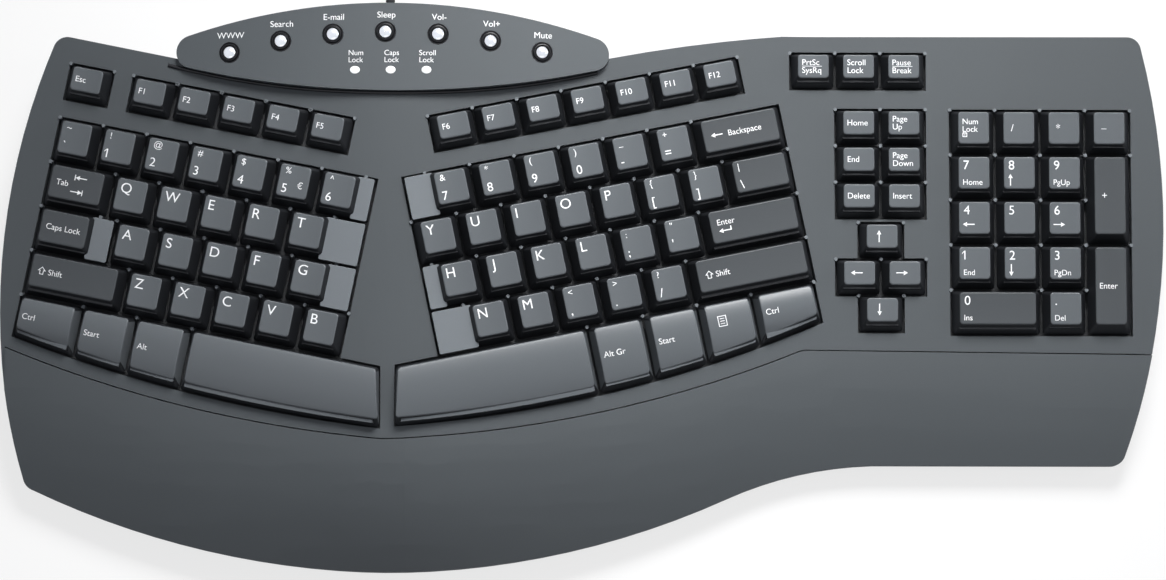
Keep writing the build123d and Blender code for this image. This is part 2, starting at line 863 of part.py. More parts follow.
foot_axis_height = base_height + foot_thickness / 2 + foot_clearance
pocket_height = foot_axis_height + foot_thickness / 2 + foot_clearance


def foot_axis(place):
    """Middle of a foot's hinge axis."""
    return place[0], place[1], foot_axis_height


def pocket_block(place):
    """Walls and roof round a foot's pocket, inside the tray."""
    x, y, _ = foot_axis(place)
    width = foot_width + 2 * foot_clearance + 2 * pocket_wall
    back = foot_thickness / 2 + foot_clearance + pocket_wall
    length = foot_length + foot_clearance + back + pocket_wall
    height = pocket_height + pocket_wall - base_height
    block = Box(width, length, height, align=(Align.CENTER, Align.MAX, Align.MIN))
    return Pos(x, y + back, base_height) * block


def pocket(place):
    """Space for a folded foot and its hinge pins."""
    x, y, z = foot_axis(place)
    back = foot_thickness / 2 + foot_clearance
    length = foot_length + foot_clearance + back
    width = foot_width + 2 * foot_clearance
    room = Box(width, length, pocket_height, align=(Align.CENTER, Align.MAX, Align.MIN))
    reach = width / 2 + foot_pin_length
    bore = RegularPolygon(foot_pin_radius + foot_pin_clearance, foot_sides, major_radius=False)
    pins = extrude(Rot(Y=90) * bore, amount=reach, both=True)
    return Pos(x, y + back, 0) * room + Pos(x, y, z) * pins


def folding_foot(place):
    """Rear foot, folded flat in its pocket, with a round hinge end and two pins."""
    x, y, z = foot_axis(place)
    radius = foot_thickness / 2
    length = foot_length - radius
    leaf = Box(foot_width, length, foot_thickness, align=(Align.CENTER, Align.MAX, Align.CENTER))
    barrel = extrude(Rot(Y=90) * RegularPolygon(radius, foot_sides), amount=foot_width / 2, both=True)
    pins = Rot(Y=90) * Cylinder(foot_pin_radius, foot_width + 2 * foot_pin_length)
    return Pos(x, y, z) * (leaf + barrel + pins)


# Hot-key panel, its buttons and indicators

def panel_plane(x, y):
    """Plane on the cylindrical top of the panel."""
    across = x - ridge_x
    drop = panel_top_radius - sqrt(panel_top_radius**2 - across**2)
    normal = Vector(across / panel_top_radius, 0, sqrt(1 - (across / panel_top_radius) ** 2))
    return Plane(origin=(x, y, panel_height - drop), x_dir=(normal.Z, 0, -normal.X), z_dir=normal)


def button_plane(number):
    """Plane of one hot-key button, counted from the middle one."""
    angle = number * button_spacing / button_arc_radius
    x = button_middle[0] + button_arc_radius * sin(angle)
    y = button_middle[1] - button_arc_radius * (1 - cos(angle))
    return panel_plane(x, y)


button_names = ["web", "search", "mail", "sleep", "volume_down", "volume_up", "mute"]
last_button = len(button_names) // 2
flange_top = -panel_wall - button_flange_gap
button_bottom = flange_top - button_flange - button_stem
strip_depth = button_travel + strip_gap - button_bottom


def hot_key_button(number):
    """Round button with a domed top, a square flange under the panel and a stem."""
    disc_face = RegularPolygon(button_radius, button_sides)
    shoulder = RegularPolygon(button_shoulder_radius, button_sides)
    rise_each = button_proud / 3
    button = upright(0, 0, button_flange_width, flange_top - button_flange, flange_top)
    button += upright(0, 0, button_stem_width, button_bottom, flange_top - button_flange / 2)
    button += Pos(0, 0, flange_top) * extrude(disc_face, amount=rise_each - flange_top)
    button += Pos(0, 0, rise_each) * frustum(disc_face, button_radius - button_shoulder_radius, rise_each)
    crown = frustum(shoulder, button_shoulder_radius - button_crown_radius, rise_each)
    button += Pos(0, 0, 2 * rise_each) * crown
    return button_plane(number) * button


def indicator(number, grow, low, high):
    """Column with cut corners at one indicator."""
    x = indicator_middle[0] + number * indicator_spacing
    face = Rectangle(indicator_width + 2 * grow, indicator_depth + 2 * grow)
    face = chamfer(face.vertices(), indicator_corner)
    return Pos(x, indicator_middle[1], low) * extrude(face, amount=high - low)


def hot_key_panel():
    """Lens-shaped panel with bores for the buttons and indicators, and posts that carry the switch strip."""
    panel = prism(panel_outline()) & under_panel(0)
    panel -= prism(panel_outline(panel_ledge)) & under_panel(panel_wall)
    panel -= under_deck(0)
    for place in strip_posts:
        post = upright(0, 0, strip_post, strip_post_gap - strip_depth, -panel_wall / 2)
        panel += button_plane(place) * post
    bore = RegularPolygon(button_radius + button_clearance, button_sides)
    bore = extrude(bore, amount=2 * panel_wall, both=True)
    ring = extrude(RegularPolygon(button_ring_radius, button_sides), amount=panel_wall)
    for number in range(-last_button, last_button + 1):
        panel -= button_plane(number) * bore
        panel -= button_plane(number) * (Pos(0, 0, -button_ring_depth) * ring)
    for number in (-1, 0, 1):
        panel -= indicator(number, indicator_clearance, 0, 2 * panel_height)
    return panel


def indicator_windows():
    """Oval light pipes, flush with the panel."""
    pipes = [indicator(n, 0, panel_height - indicator_length, panel_height + 1) for n in (-1, 0, 1)]
    return [pipe & under_panel(0) for pipe in pipes]


def circuit_boards():
    """Main board on its posts, and the switch strip under the buttons."""
    x, y = board_place
    base = (Align.CENTER, Align.CENTER, Align.MIN)
    board = Pos(x, y, board_height) * Box(board_width, board_depth, board_thickness, align=base)
    chip = Box(chip_size, chip_size, chip_height, align=base)
    board += [Pos(x + dx, y, board_height + board_thickness) * chip for dx in (-chip_size, chip_size)]
    strip = prism(panel_outline(strip_inset)) & under_panel(strip_depth)
    strip -= under_panel(strip_depth + strip_thickness)
    return [board, strip]


# Pads and screws

def rubber_pads():
    """Round pads in the recesses of the bottom case."""
    return columns(pad_places, pad_radius, pad_sides, 0, pad_height)


def case_screws():
    """Screws driven from below."""
    head_seat = base_height + screw_head
    heads = screw_columns(screw_head_radius, base_height + screw_clearance, head_seat)
    shanks = screw_columns(screw_radius, head_seat - screw_head / 2, head_seat + screw_length)
    return [head + shank for head, shank in zip(heads, shanks)]


# Lead

exit_wall = panel_back[1]


def relief_bore():
    """Hole for the strain relief through the back wall."""
    hole = RegularPolygon(relief_root_radius + relief_clearance, relief_sides)
    hole = extrude(hole, amount=2 * cover_wall, both=True)
    return Pos(exit_x, exit_wall, exit_height) * Rot(X=-90) * hole


def strain_relief():
    """Strain relief: a flange inside the wall and a tapering sleeve outside."""
    seat = -cover_wall - relief_clearance
    root = RegularPolygon(relief_root_radius, relief_sides)
    flange = RegularPolygon(relief_flange_radius, relief_sides)
    sleeve = Pos(0, 0, seat) * extrude(flange, amount=-relief_flange)
    sleeve += Pos(0, 0, seat) * extrude(root, amount=-seat)
    sleeve += frustum(root, relief_root_radius - relief_tip_radius, relief_length)
    return Pos(exit_x, exit_wall, exit_height) * Rot(X=-90) * sleeve


def corner_radii(points):
    """Radius of the arc at each inner point of a route."""
    radii = []
    for before, here, after in zip(points, points[1:], points[2:]):
        one, two = Vector(*here) - Vector(*before), Vector(*after) - Vector(*here)
        half_turn = radians(one.get_angle(two)) / 2
        radii.append(cable_turn_share * min(one.length, two.length) / tan(half_turn))
    return radii


def tube(path):
    """Faceted tube along a path."""
    start = Plane(origin=path @ 0, z_dir=path % 0)
    return sweep(start * RegularPolygon(cable_diameter / 2, cable_sides), path=path)


hank_floor = tie_thickness + tie_gap + cable_diameter / 2
hank_start = (hank_place[0] - hank_run / 2, hank_place[1] - hank_outer, hank_floor)
cable_start = (exit_x, exit_wall + relief_length, exit_height)


def usb_cable():
    """Free stretch of the lead, from the strain relief to the hank."""
    points = [cable_start, *cable_points, hank_start]
    radii = corner_radii(points)
    print("cable radii", [round(radius, 1) for radius in radii])
    path = FilletPolyline(*points, radius=radii)
    print("free stretch", round(path.length, 1))
    return tube(path)


def biarc(start, start_way, end, end_way):
    """Two arcs that join two points along given directions."""
    across = end - start
    both = across.dot(start_way + end_way)
    spread = 2 * (1 - start_way.dot(end_way))
    if spread < 1e-9:
        reach = across.dot(across) / (2 * both)
    else:
        reach = (sqrt(both**2 + spread * across.dot(across)) - both) / spread
    first, second = start + start_way * reach, end - end_way * reach
    joint = (first + second) * 0.5
    way = (second - first).normalized()
    return [Edge.make_tangent_arc(start, start_way, joint), Edge.make_tangent_arc(joint, way, end)]


def hank_path():
    """Path of the hank: runs and folds that spiral in and out, each layer's first run climbing, then a drop."""
    x, y = hank_place
    ahead = Vector(1, 0, 0)
    edges, last = [], None
    for run in range(hank_layers * hank_turns + 1):
        layer, turn = divmod(run, hank_turns)
        way = 1 if run % 2 == 0 else -1
        wide = hank_outer - hank_step * (turn if layer % 2 == 0 else hank_turns - turn)
        high = hank_floor + hank_layer * min(layer, hank_layers - 1)
        climbs = turn == 0 and 0 < layer < hank_layers
        low = high - hank_layer if climbs else high
        start = Vector(x - way * hank_run / 2, y - way * wide, low)
        end = Vector(x + way * hank_run / 2, y - way * wide, high)
        if last:
            edges += biarc(last, ahead * -way, start, ahead * way)
        edges += biarc(start, ahead * way, end, ahead * way) if climbs else [Edge.make_line(start, end)]
        last = end
    landing = Vector(last.X + hank_drop_run, last.Y, plug_thickness / 2)
    edges += biarc(last, ahead, landing, ahead)
    plug_place = landing + ahead * cable_diameter
    edges.append(Edge.make_line(landing, plug_place))
    return Wire(edges), plug_place


def cable_tie():
    """Band round the middle of the hank."""
    waist = hank_outer + cable_diameter / 2 + tie_gap
    climb = hank_layer * (hank_layers - 1)
    height = climb + cable_diameter + 2 * tie_gap
    corner = cable_diameter / 2 + tie_gap
    inner = chamfer(Rectangle(2 * waist, height).vertices(), corner / 2)
    outer = Rectangle(2 * (waist + tie_thickness), height + 2 * tie_thickness)
    outer = chamfer(outer.vertices(), corner / 2 + tie_thickness / 2)
    band = extrude(outer - inner, amount=tie_width / 2, both=True)
    return Pos(*hank_place, hank_floor + climb / 2) * Rot(Z=90) * Rot(X=90) * band


def least_gap(path):
    """Least gap between stretches of a tube's own path that are well apart along it."""
    count = int(path.length / cable_diameter * 2)
    points = [path @ (i / count) for i in range(count + 1)]
    skip = 6
    best = far
    for i, here in enumerate(points):
        for there in points[i + skip :]:
            best = min(best, (here - there).length)
    return best - cable_diameter


def cable_hank():
    """The rest of the lead, put away in a hank behind the keyboard."""
    path, end = hank_path()
    print("hank length", round(path.length, 1), "least gap", round(least_gap(path), 2))
    return tube(path)


def plug_body():
    """Moulded body of the plug, at the hank's end."""
    end = hank_path()[1]
    body = Box(plug_length, plug_width, plug_thickness, align=(Align.MIN, Align.CENTER, Align.CENTER))
    body = chamfer(body.edges().filter_by(Axis.X), plug_edge)
    return Pos(*end) * body


def plug_shell():
    """Metal shell of the plug with its contact tongue."""
    end = hank_path()[1]
    align = (Align.MIN, Align.CENTER, Align.CENTER)
    outer = Box(plug_shell_length, plug_shell_width, plug_shell_thickness, align=align)
    clear_width = plug_shell_width - 2 * plug_shell_wall
    room = Box(plug_shell_length, clear_width, plug_shell_thickness - 2 * plug_shell_wall, align=align)
    tongue = Box(plug_shell_length - plug_shell_floor, clear_width, plug_tongue_thickness, align=align)
    drop = plug_shell_thickness / 2 - plug_shell_wall - plug_tongue_thickness / 2
    metal = outer - Pos(plug_shell_floor, 0, 0) * room
    metal += Pos(plug_shell_floor / 2, 0, -drop) * tongue
    return Pos(end.X + plug_length, end.Y, end.Z) * metal


# Writing the pieces

def save(name, pieces):
    """Write one node."""
    solids = []
    for piece in pieces:
        solids += piece.solids()
    node = Compound(children=[Solid(s.wrapped) for s in solids])
    export_step(node, f"parts/{name}.step")


def build():
    """Make every piece and write it."""
    os.makedirs("parts", exist_ok=True)
    for zone in zones:
        for name, keys in zone.keys.items():
            if name in bottom_row:
                save(name, [bottom_keycap(key, zone.plane, zone.arc, zone.hand) for key in keys])
            else:
                save(name, [zone.plane * keycap(key) for key in keys])
    save("key_decks", [key_deck(zone) for zone in zones])
    save("rubber_dome_sheets", [dome_layer(zone) for zone in zones])
    save("contact_sheets", [contact_layer(zone) for zone in zones])
    save("top_cover", [top_cover()])
    save("palm_rest", [palm_rest()])
    save("bottom_case", [bottom_case()])
    save("hot_key_panel", [hot_key_panel()])
    for number, name in enumerate(button_names):
        save(f"{name}_button", [hot_key_button(number - last_button)])
    save("indicator_windows", indicator_windows())
    save("circuit_boards", circuit_boards())
    save("rubber_pads", rubber_pads())
    save("case_screws", case_screws())
    save("left_folding_foot", [folding_foot(foot_places[0])])
    save("right_folding_foot", [folding_foot(foot_places[1])])
    save("strain_relief", [strain_relief()])
    save("usb_cable", [usb_cable()])
    save("cable_hank", [cable_hank()])
    save("cable_tie", [cable_tie()])
    save("usb_plug_body", [plug_body()])
    save("usb_plug_shell", [plug_shell()])


if __name__ == "__main__":
    build()
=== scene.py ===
"""Dresses the ergonomic keyboard: keycaps, legends, shells, buttons, a lead and a studio stage."""

from math import asin, cos, exp, hypot, pi, radians, sin, sqrt, tan

import bmesh
import bpy
from mathutils import Matrix, Vector


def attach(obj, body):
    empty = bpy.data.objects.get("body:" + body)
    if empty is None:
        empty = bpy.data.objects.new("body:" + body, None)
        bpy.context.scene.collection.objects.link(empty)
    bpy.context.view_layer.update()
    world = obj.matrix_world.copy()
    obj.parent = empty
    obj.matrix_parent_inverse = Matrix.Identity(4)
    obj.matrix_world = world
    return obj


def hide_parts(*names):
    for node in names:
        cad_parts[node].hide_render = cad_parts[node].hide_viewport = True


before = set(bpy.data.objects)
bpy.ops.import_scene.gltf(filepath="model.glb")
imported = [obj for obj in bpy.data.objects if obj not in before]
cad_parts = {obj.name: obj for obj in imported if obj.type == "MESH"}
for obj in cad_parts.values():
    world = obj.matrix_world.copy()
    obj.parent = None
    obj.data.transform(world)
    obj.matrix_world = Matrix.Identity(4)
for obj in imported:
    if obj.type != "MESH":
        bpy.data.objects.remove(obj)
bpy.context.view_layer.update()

bl_info = {
    "name": "Ergonomic Keyboard",
    "version": (1, 0, 0),
    "blender": (4, 5, 0),
    "location": "View3D > Sidebar > Keyboard",
    "description": "Dresses a split, tented keyboard with keycaps, legends, shells and a lead",
    "category": "Add Mesh",
}

MM = 0.001

# The layout below repeats the CAD source, in millimetres

KEY_PITCH = 19.05
KEY_GAP = 0.5
KEY_TOP = 5.5
KEY_SKIRT = 1.0
KEY_SIDE = 2.7
WIDE_SIDE = 1.8
KEY_BACK_SLOPE = 0.9
KEY_FRONT_SLOPE = 3.9
KEY_WALL = 1.2
KEY_ROOF = 3.4
STEP_HEIGHT = 2.0
SHORT_DEPTH = 15.45
BOTTOM_BACK = -4 * KEY_PITCH
BOTTOM_DEPTH = 29.0
BOTTOM_FRONT_LEAN = (KEY_TOP + KEY_SKIRT) * tan(radians(27))
STEM_WIDTH = 5.8
STEM_REACH = 6.4
TENT = 6.5
TENT_SLOPE = tan(radians(TENT))
FALL = 1.0
FALL_SLOPE = tan(radians(FALL))
BACK_RISE = tan(radians(2.0))
REFERENCE_Y = 60.0
RIDGE_X = -81.0
ISLAND_HALF = 2.9
RIDGE_HEIGHT = 40.5
RIDGE_ROUND = 180.0
VALLEY_ROUND = 150.0
NUMPAD_X = 170.0
NUMPAD_HEIGHT = 19.5
PANEL_HEIGHT = 43.0
PANEL_RADIUS = 454.0
VALLEY_X = (RIDGE_HEIGHT + TENT_SLOPE * RIDGE_X - NUMPAD_HEIGHT - FALL_SLOPE * NUMPAD_X) / (
    TENT_SLOPE - FALL_SLOPE)
REST_SMOOTHING = 14.0
REST_RISE = 0.8
REST_FRONT_HEIGHT = 10.0
REST_BULGE = 5.5
REST_BULGE_WIDTH = 95.0
REST_CREST_X = RIDGE_X - 3

# Keycaps: where wide and tall keys begin, how low a cap's top reaches, and the cuts where the top may bend
WIDE_FROM = 1.3 * KEY_PITCH
TALL_FROM = 1.8 * KEY_PITCH
CAP_TOP_LOW = KEY_ROOF + 1
CAP_FACE_LOW = KEY_ROOF + 0.4
DEEP_FACE_LOW = 2.5
ROOM_SHARE = 0.55
STEM_TOP = KEY_ROOF + 0.1
CROWN_POWER = 2.4
CROWN_LIMIT = 1.3
WIDE_DISH = 0.12
CROWN_CUTS = (-0.85, -0.6, -0.3, 0, 0.3, 0.6, 0.85)
WIDE_CUTS = (-0.7, -0.35, 0, 0.35, 0.7)
DISH_CUTS = (-0.85, -0.6, -0.35, -0.12, 0.12, 0.35, 0.6, 0.85)
CUT_SPACING = 8
ISLAND_REACH = 20
ISLAND_LEAN = 0.3
STEP_OVERLAP = 3
STEP_ROUND = 0.8
STEP_RIM = 0.3
# Keycap slots: tops, near-black sides as painted shade, lighter steps, and wide tops darkened as painted
# shade
KEY_MATERIALS = ["key", "skirt", "step", "wide"]
TOP, SKIRT_SHADE, STEP, WIDE_SHADE = range(4)

# Upper skins of the shells: the grid that cuts them, and the height above which a face belongs to them
TOP_GRID = 8.2 * MM
SKIN_LOW = 9.5 * MM


def block_frame(corner, turn, slope, known_x, known_height):
    """Matrix from a block's own millimetres to the row frame in metres."""
    height = known_height + slope * (corner[0] - known_x) + BACK_RISE * (corner[1] - REFERENCE_Y)
    across = (cos(radians(turn)), sin(radians(turn)))
    along = Vector((*across, slope * across[0] + BACK_RISE * across[1])).normalized()
    up = Vector((-slope, -BACK_RISE, 1)).normalized()
    matrix = Matrix((along, up.cross(along), up)).transposed().to_4x4()
    matrix.translation = (*corner, height)
    return Matrix.Scale(MM, 4) @ matrix


LEFT = block_frame((-219.9, 72.6), -12, TENT_SLOPE, RIDGE_X, RIDGE_HEIGHT)
RIGHT = block_frame((-195.7, 19.2), 12, -TENT_SLOPE, RIDGE_X, RIDGE_HEIGHT)
NUMPAD = block_frame((154.7, 76.4), 0, -FALL_SLOPE, NUMPAD_X, NUMPAD_HEIGHT)


def circle_through(a, b, c):
    """Centre and radius of the circle through three plan points."""
    (ax, ay), (bx, by), (cx, cy) = a, b, c
    d = 2 * (ax * (by - cy) + bx * (cy - ay) + cx * (ay - by))
    a2, b2, c2 = ax * ax + ay * ay, bx * bx + by * by, cx * cx + cy * cy
    x = (a2 * (by - cy) + b2 * (cy - ay) + c2 * (ay - by)) / d
    y = (a2 * (cx - bx) + b2 * (ax - cx) + c2 * (bx - ax)) / d
    return x, y, hypot(ax - x, ay - y)


LEFT_FRONT = circle_through((-12.0, -92.0), (82.0, -102.7), (175.0, -99.6))
RIGHT_FRONT = circle_through((85.0, -98.4), (190.0, -104.9), (296.0, -91.2))

# Plan lines as arcs (end, circle) and a level end: the palm rest's seam and its front edge
SEAM = ([(-82.6, circle_through((-242.3, -24.0), (-163.4, -50.2), (-82.6, -63.9))),
         (92.0, circle_through((-82.6, -63.9), (0.0, -53.6), (92.0, -25.2)))], -25.2)
REST_FRONT = ([(-84.0, circle_through((-234.0, -82.0), (-166.8, -106.6), (-84.0, -118.0))),
               (121.4, circle_through((-84.0, -118.0), (-10.6, -110.3), (60.3, -87.1)))], -73.1)

# Legends: each is a text, a print style and, where it needs one, a shift in millimetres

LETTER, DIGIT, SHIFTED, WORD = "letter", "digit", "shifted", "word"
NUMBER, BELOW, SIGN = "number", "below", "sign"

# Each style: height of a capital, inset from the left, the edge it is measured from and the margin to it
STYLES = {
    LETTER: (4.1, 1.7, "top", 1.7),
    DIGIT: (3.6, 1.8, "bottom", 1.5),
    SHIFTED: (2.6, 2.1, "top", 1.1),
    WORD: (2.4, 1.6, "middle", 0.0),
    NUMBER: (3.7, 1.9, "top", 1.5),
    BELOW: (2.3, 1.7, "bottom", 1.5),
    SIGN: (2.9, 4.6, "middle", 0.0),
}
SIGN_INSET = 3.2
CAPITAL_SHARE = 0.682
LINE_SPACE = 0.95
RULE_LENGTH = 8.4
RULED_WORDS = ("PrtSc\nSysRq", "Pause\nBreak")
ARROW_TURNS = {"→": 0, "↑": 90, "←": 180, "↓": 270, "⇥": 0, "⇤": 180, "↵": 180}


def letters(text):
    """One big letter for each key of a row."""
    return [[(letter, LETTER)] for letter in text]


def pairs(text):
    """A shifted sign over a plain one for each key of a row."""
    return [[(pair[0], SHIFTED), (pair[1], DIGIT)] for pair in text.split()]


def words(*texts):
    """One word for each key of a row."""
    return [[(text, WORD)] for text in texts]


def numbered(number, word, *shift):
    """A number over a word or a sign."""
    return [(number, NUMBER), (word, BELOW, *shift)]


def cells(first, row, count=1, width=1.0):
    """Cells (left, back, width, depth) of a row of equal keys, in key pitches."""
    size = width * KEY_PITCH
    return [((first + i * width) * KEY_PITCH, -row * KEY_PITCH, size, KEY_PITCH) for i in range(count)]


def short_cells(left, back, count, pitch=KEY_PITCH):
    """Cells of a row of shallow keys."""
    return [(left + i * pitch, back, KEY_PITCH, SHORT_DEPTH) for i in range(count)]


def between(edges, number):
    """Cell of a deep key in the bottom row."""
    return [(edges[number], BOTTOM_BACK, edges[number + 1] - edges[number], BOTTOM_DEPTH)]


def tall_cell(row):
    """Cell of a number-pad key that is two rows deep."""
    return [(3 * KEY_PITCH, -row * KEY_PITCH, KEY_PITCH, 2 * KEY_PITCH)]


INNER_LEFT, INNER_RIGHT = 7.25 * KEY_PITCH, 6.5 * KEY_PITCH
FUNCTION_BACK = 23.2
LEFT_EDGES = [-0.3, 27.0, 50.4, 74.4, 175.0]
RIGHT_EDGES = [90.0, 187.0, 210.8, 234.2, 257.6, 285.0]
ARROWS_BACK = 0.2 - 3 * SHORT_DEPTH - 1.6

# Each node: its cells, its legends, and the low steps beside keys as {key number: (left, right)}
LEFT_KEYS = {
    "escape_key": (short_cells(-0.3, FUNCTION_BACK, 1), words("Esc"), {}),
    "function_keys_left": (
        short_cells(27.3, FUNCTION_BACK, 5, 19.3), words("F1", "F2", "F3", "F4", "F5"), {}),
    "number_keys_left": (
        cells(0, 0, 7), pairs("~` !1 @2 #3 $4") + [[("%", SHIFTED), ("5", DIGIT), ("€", SHIFTED, 6.0, -5.6)]]
        + pairs("^6"), {6: (0, INNER_LEFT - 7 * KEY_PITCH)}),
    "tab_key": (
        cells(0, 1, 1, 1.5), [[("Tab", WORD, 0.9, 0), ("⇤", SIGN, 9.6, 3.0), ("⇥", SIGN, 8.5, -3.0)]], {}),
    "top_letter_keys_left": (cells(1.5, 1, 5), letters("QWERT"), {4: (0, INNER_LEFT - 6.5 * KEY_PITCH)}),
    "caps_lock_key": (cells(0, 2, 1, 1.375), [[("Caps Lock", WORD, 0.7, 0)]], {0: (0, 0.375 * KEY_PITCH)}),
    "home_letter_keys_left": (cells(1.75, 2, 5), letters("ASDFG"), {4: (0, INNER_LEFT - 6.75 * KEY_PITCH)}),
    "left_shift_key": (cells(0, 3, 1, 2.25), [[("⇧", SIGN, -1.9, 0), ("Shift", WORD, 5.8, 0)]], {}),
    "bottom_letter_keys_left": (cells(2.25, 3, 5), letters("ZXCVB"), {}),
    "left_control_key": (between(LEFT_EDGES, 0), words("Ctrl"), {}),
    "left_start_key": (between(LEFT_EDGES, 1), words("Start"), {}),
    "left_alt_key": (between(LEFT_EDGES, 2), words("Alt"), {}),
    "left_space_bar": (between(LEFT_EDGES, 3), [[]], {}),
}
RIGHT_KEYS = {
    "function_keys_right": (
        short_cells(139.3, FUNCTION_BACK, 7), words("F6", "F7", "F8", "F9", "F10", "F11", "F12"), {}),
    "number_keys_right": (cells(7, 0, 6), pairs("&7 *8 (9 )0 _- +="), {0: (7 * KEY_PITCH - INNER_RIGHT, 0)}),
    "backspace_key": (cells(13, 0, 1, 2.0), [[("←", SIGN, 2.4, 0), ("Backspace", WORD, 9.0, 0)]], {}),
    "top_letter_keys_right": (cells(6.5, 1, 7), letters("YUIOP") + pairs("{[ }]"), {}),
    "backslash_key": (cells(13.5, 1, 1, 1.5), pairs("|\\"), {}),
    "home_letter_keys_right": (
        cells(6.75, 2, 6), letters("HJKL") + pairs(":; \"'"), {0: (6.75 * KEY_PITCH - INNER_RIGHT, 0)}),
    "enter_key": (cells(12.75, 2, 1, 2.25), [[("Enter", WORD, 1.3, 1.8), ("↵", SIGN, 2.3, -1.9)]], {}),
    "bottom_letter_keys_right": (
        cells(7.25, 3, 5), letters("NM") + pairs("<, >. ?/"), {0: (7.25 * KEY_PITCH - INNER_RIGHT, 0)}),
    "right_shift_key": (cells(12.25, 3, 1, 2.75), [[("⇧", SIGN, -1.7, 0), ("Shift", WORD, 5.9, 0)]], {}),
    "right_space_bar": (between(RIGHT_EDGES, 0), [[]], {}),
    "right_alt_key": (between(RIGHT_EDGES, 1), words("Alt Gr"), {}),
    "right_start_key": (between(RIGHT_EDGES, 2), words("Start"), {}),
    "menu_key": (between(RIGHT_EDGES, 3), [[("☰", SIGN, 3.0, 2.0)]], {}),
    "right_control_key": (between(RIGHT_EDGES, 4), words("Ctrl"), {}),
}
NUMPAD_KEYS = {
    "system_keys": (
        short_cells(-67.4, FUNCTION_BACK + 0.9, 3),
        words(RULED_WORDS[0], "Scroll\nLock", RULED_WORDS[1]), {}),
    "navigation_keys": (
        [cell for row in range(3) for cell in short_cells(-48.4, 0.2 - row * SHORT_DEPTH, 2)],
        words("Home", "Page\nUp", "End", "Page\nDown", "Delete", "Insert"), {}),
    "arrow_keys": (
        short_cells(-48.4 + KEY_PITCH / 2, ARROWS_BACK, 1) + short_cells(-48.4, ARROWS_BACK - SHORT_DEPTH, 2)
        + short_cells(-48.4 + KEY_PITCH / 2, ARROWS_BACK - 2 * SHORT_DEPTH, 1),
        [[(sign, SIGN, 1.9, 0)] for sign in "↑←→↓"], {}),
    "numpad_single_keys": (
        cells(0, 0, 4) + cells(0, 1, 3) + cells(0, 2, 3) + cells(0, 3, 3) + cells(2, 4),
        [[("Num\nLock", BELOW, 0, 6.6), ("▯", BELOW, 0.9, 0.9)]]
        + [[(sign, SIGN, -1.6, 0)] for sign in "/*–"]
        + [numbered("7", "Home"), numbered("8", "↑", 0.9, 1.0), numbered("9", "PgUp"),
           numbered("4", "←", 2.2, 1.2), [("5", NUMBER)], numbered("6", "→", 2.2, 1.2),
           numbered("1", "End"), numbered("2", "↓", 0.9, 1.0), numbered("3", "PgDn"), numbered(".", "Del")],
        {}),
    "numpad_zero_key": (cells(0, 4, 1, 2.0), [numbered("0", "Ins")], {}),
    "numpad_plus_key": (tall_cell(1), [[("+", SIGN, -1.6, 0)]], {}),
    "numpad_enter_key": (tall_cell(3), words("Enter"), {}),
}
BOTTOM_ROW = {"left_control_key", "left_start_key", "left_alt_key", "left_space_bar", "right_space_bar",
              "right_alt_key", "right_start_key", "menu_key", "right_control_key"}
BLOCKS = [
    ("left", LEFT, LEFT_KEYS, LEFT_FRONT, -1),
    ("right", RIGHT, RIGHT_KEYS, RIGHT_FRONT, 1),
    ("numpad", NUMPAD, NUMPAD_KEYS, None, 0),
]

# Hot keys: the middle of each button and the words over it. Profiles are of radius and height

HOT_KEYS = ["web", "search", "mail", "sleep", "volume_down", "volume_up", "mute"]
HOT_WORDS = ["WWW", "Search", "E-mail", "Sleep", "Vol-", "Vol+", "Mute"]
HOT_WORD_HEIGHT = 2.5
HOT_WORD_SHIFT = (0.4, 6.0)
MIDDLE_BUTTON = 3
BUTTON_ARC = (-82.4, 105.7, 273.9, 22.0)
DOME_RADIUS = 2.95
DOME_FOOT = -0.4
DOME_PROFILE = [(DOME_RADIUS * cos(i * pi / 24), 2.0 * sin(i * pi / 24) + DOME_FOOT) for i in range(12)]
BUTTON_PROFILE = [(0, -7.7), (1.4, -7.7), (1.4, -3.5), (4.6, -3.5), (4.6, -2.5), (3.7, -2.5), (3.7, 0.35),
                  (3.5, 0.62), (3.15, 0.68), *DOME_PROFILE, (0, 1.6)]
RING_PROFILE = [(3.86, -0.66), (4.5, -0.66), (4.5, -0.02), (4.38, 0.1), (4.1, 0.1), (3.9, -0.1),
                (3.86, -0.66)]
LENS_PROFILE = [(0, -4.6), (0.82, -4.6), (0.86, 0.0), (1.12, 0.1), (0.95, 0.24), (0, 0.36)]
LENS_STRETCH = (1.82, 1.42, 1, 1)
WINDOW_X, WINDOW_Y, WINDOW_SPACING = -80.1, 89.6, 14.9
WINDOW_WORDS = ["Num\nLock", "Caps\nLock", "Scroll\nLock"]
WINDOW_WORD_HEIGHT = 2.15
WINDOW_WORD_SHIFT = (0.4, 6.2)

# Painted shadow: a dark line laid under the panel's front edge, where its shade falls: its arc, and its
# start, length, steps, shift, lift and radius
LINE_ARC = circle_through((-186.5, 98.0), (-76.4, 81.0), (27.0, 96.6))
LINE_START = -174.0
LINE_LENGTH = 180.0
LINE_STEPS = 60
LINE_SHIFT = 0.55
LINE_LIFT = 0.1
LINE_RADIUS = 0.8

# Lead: the route's points and the hank it ends in, in millimetres

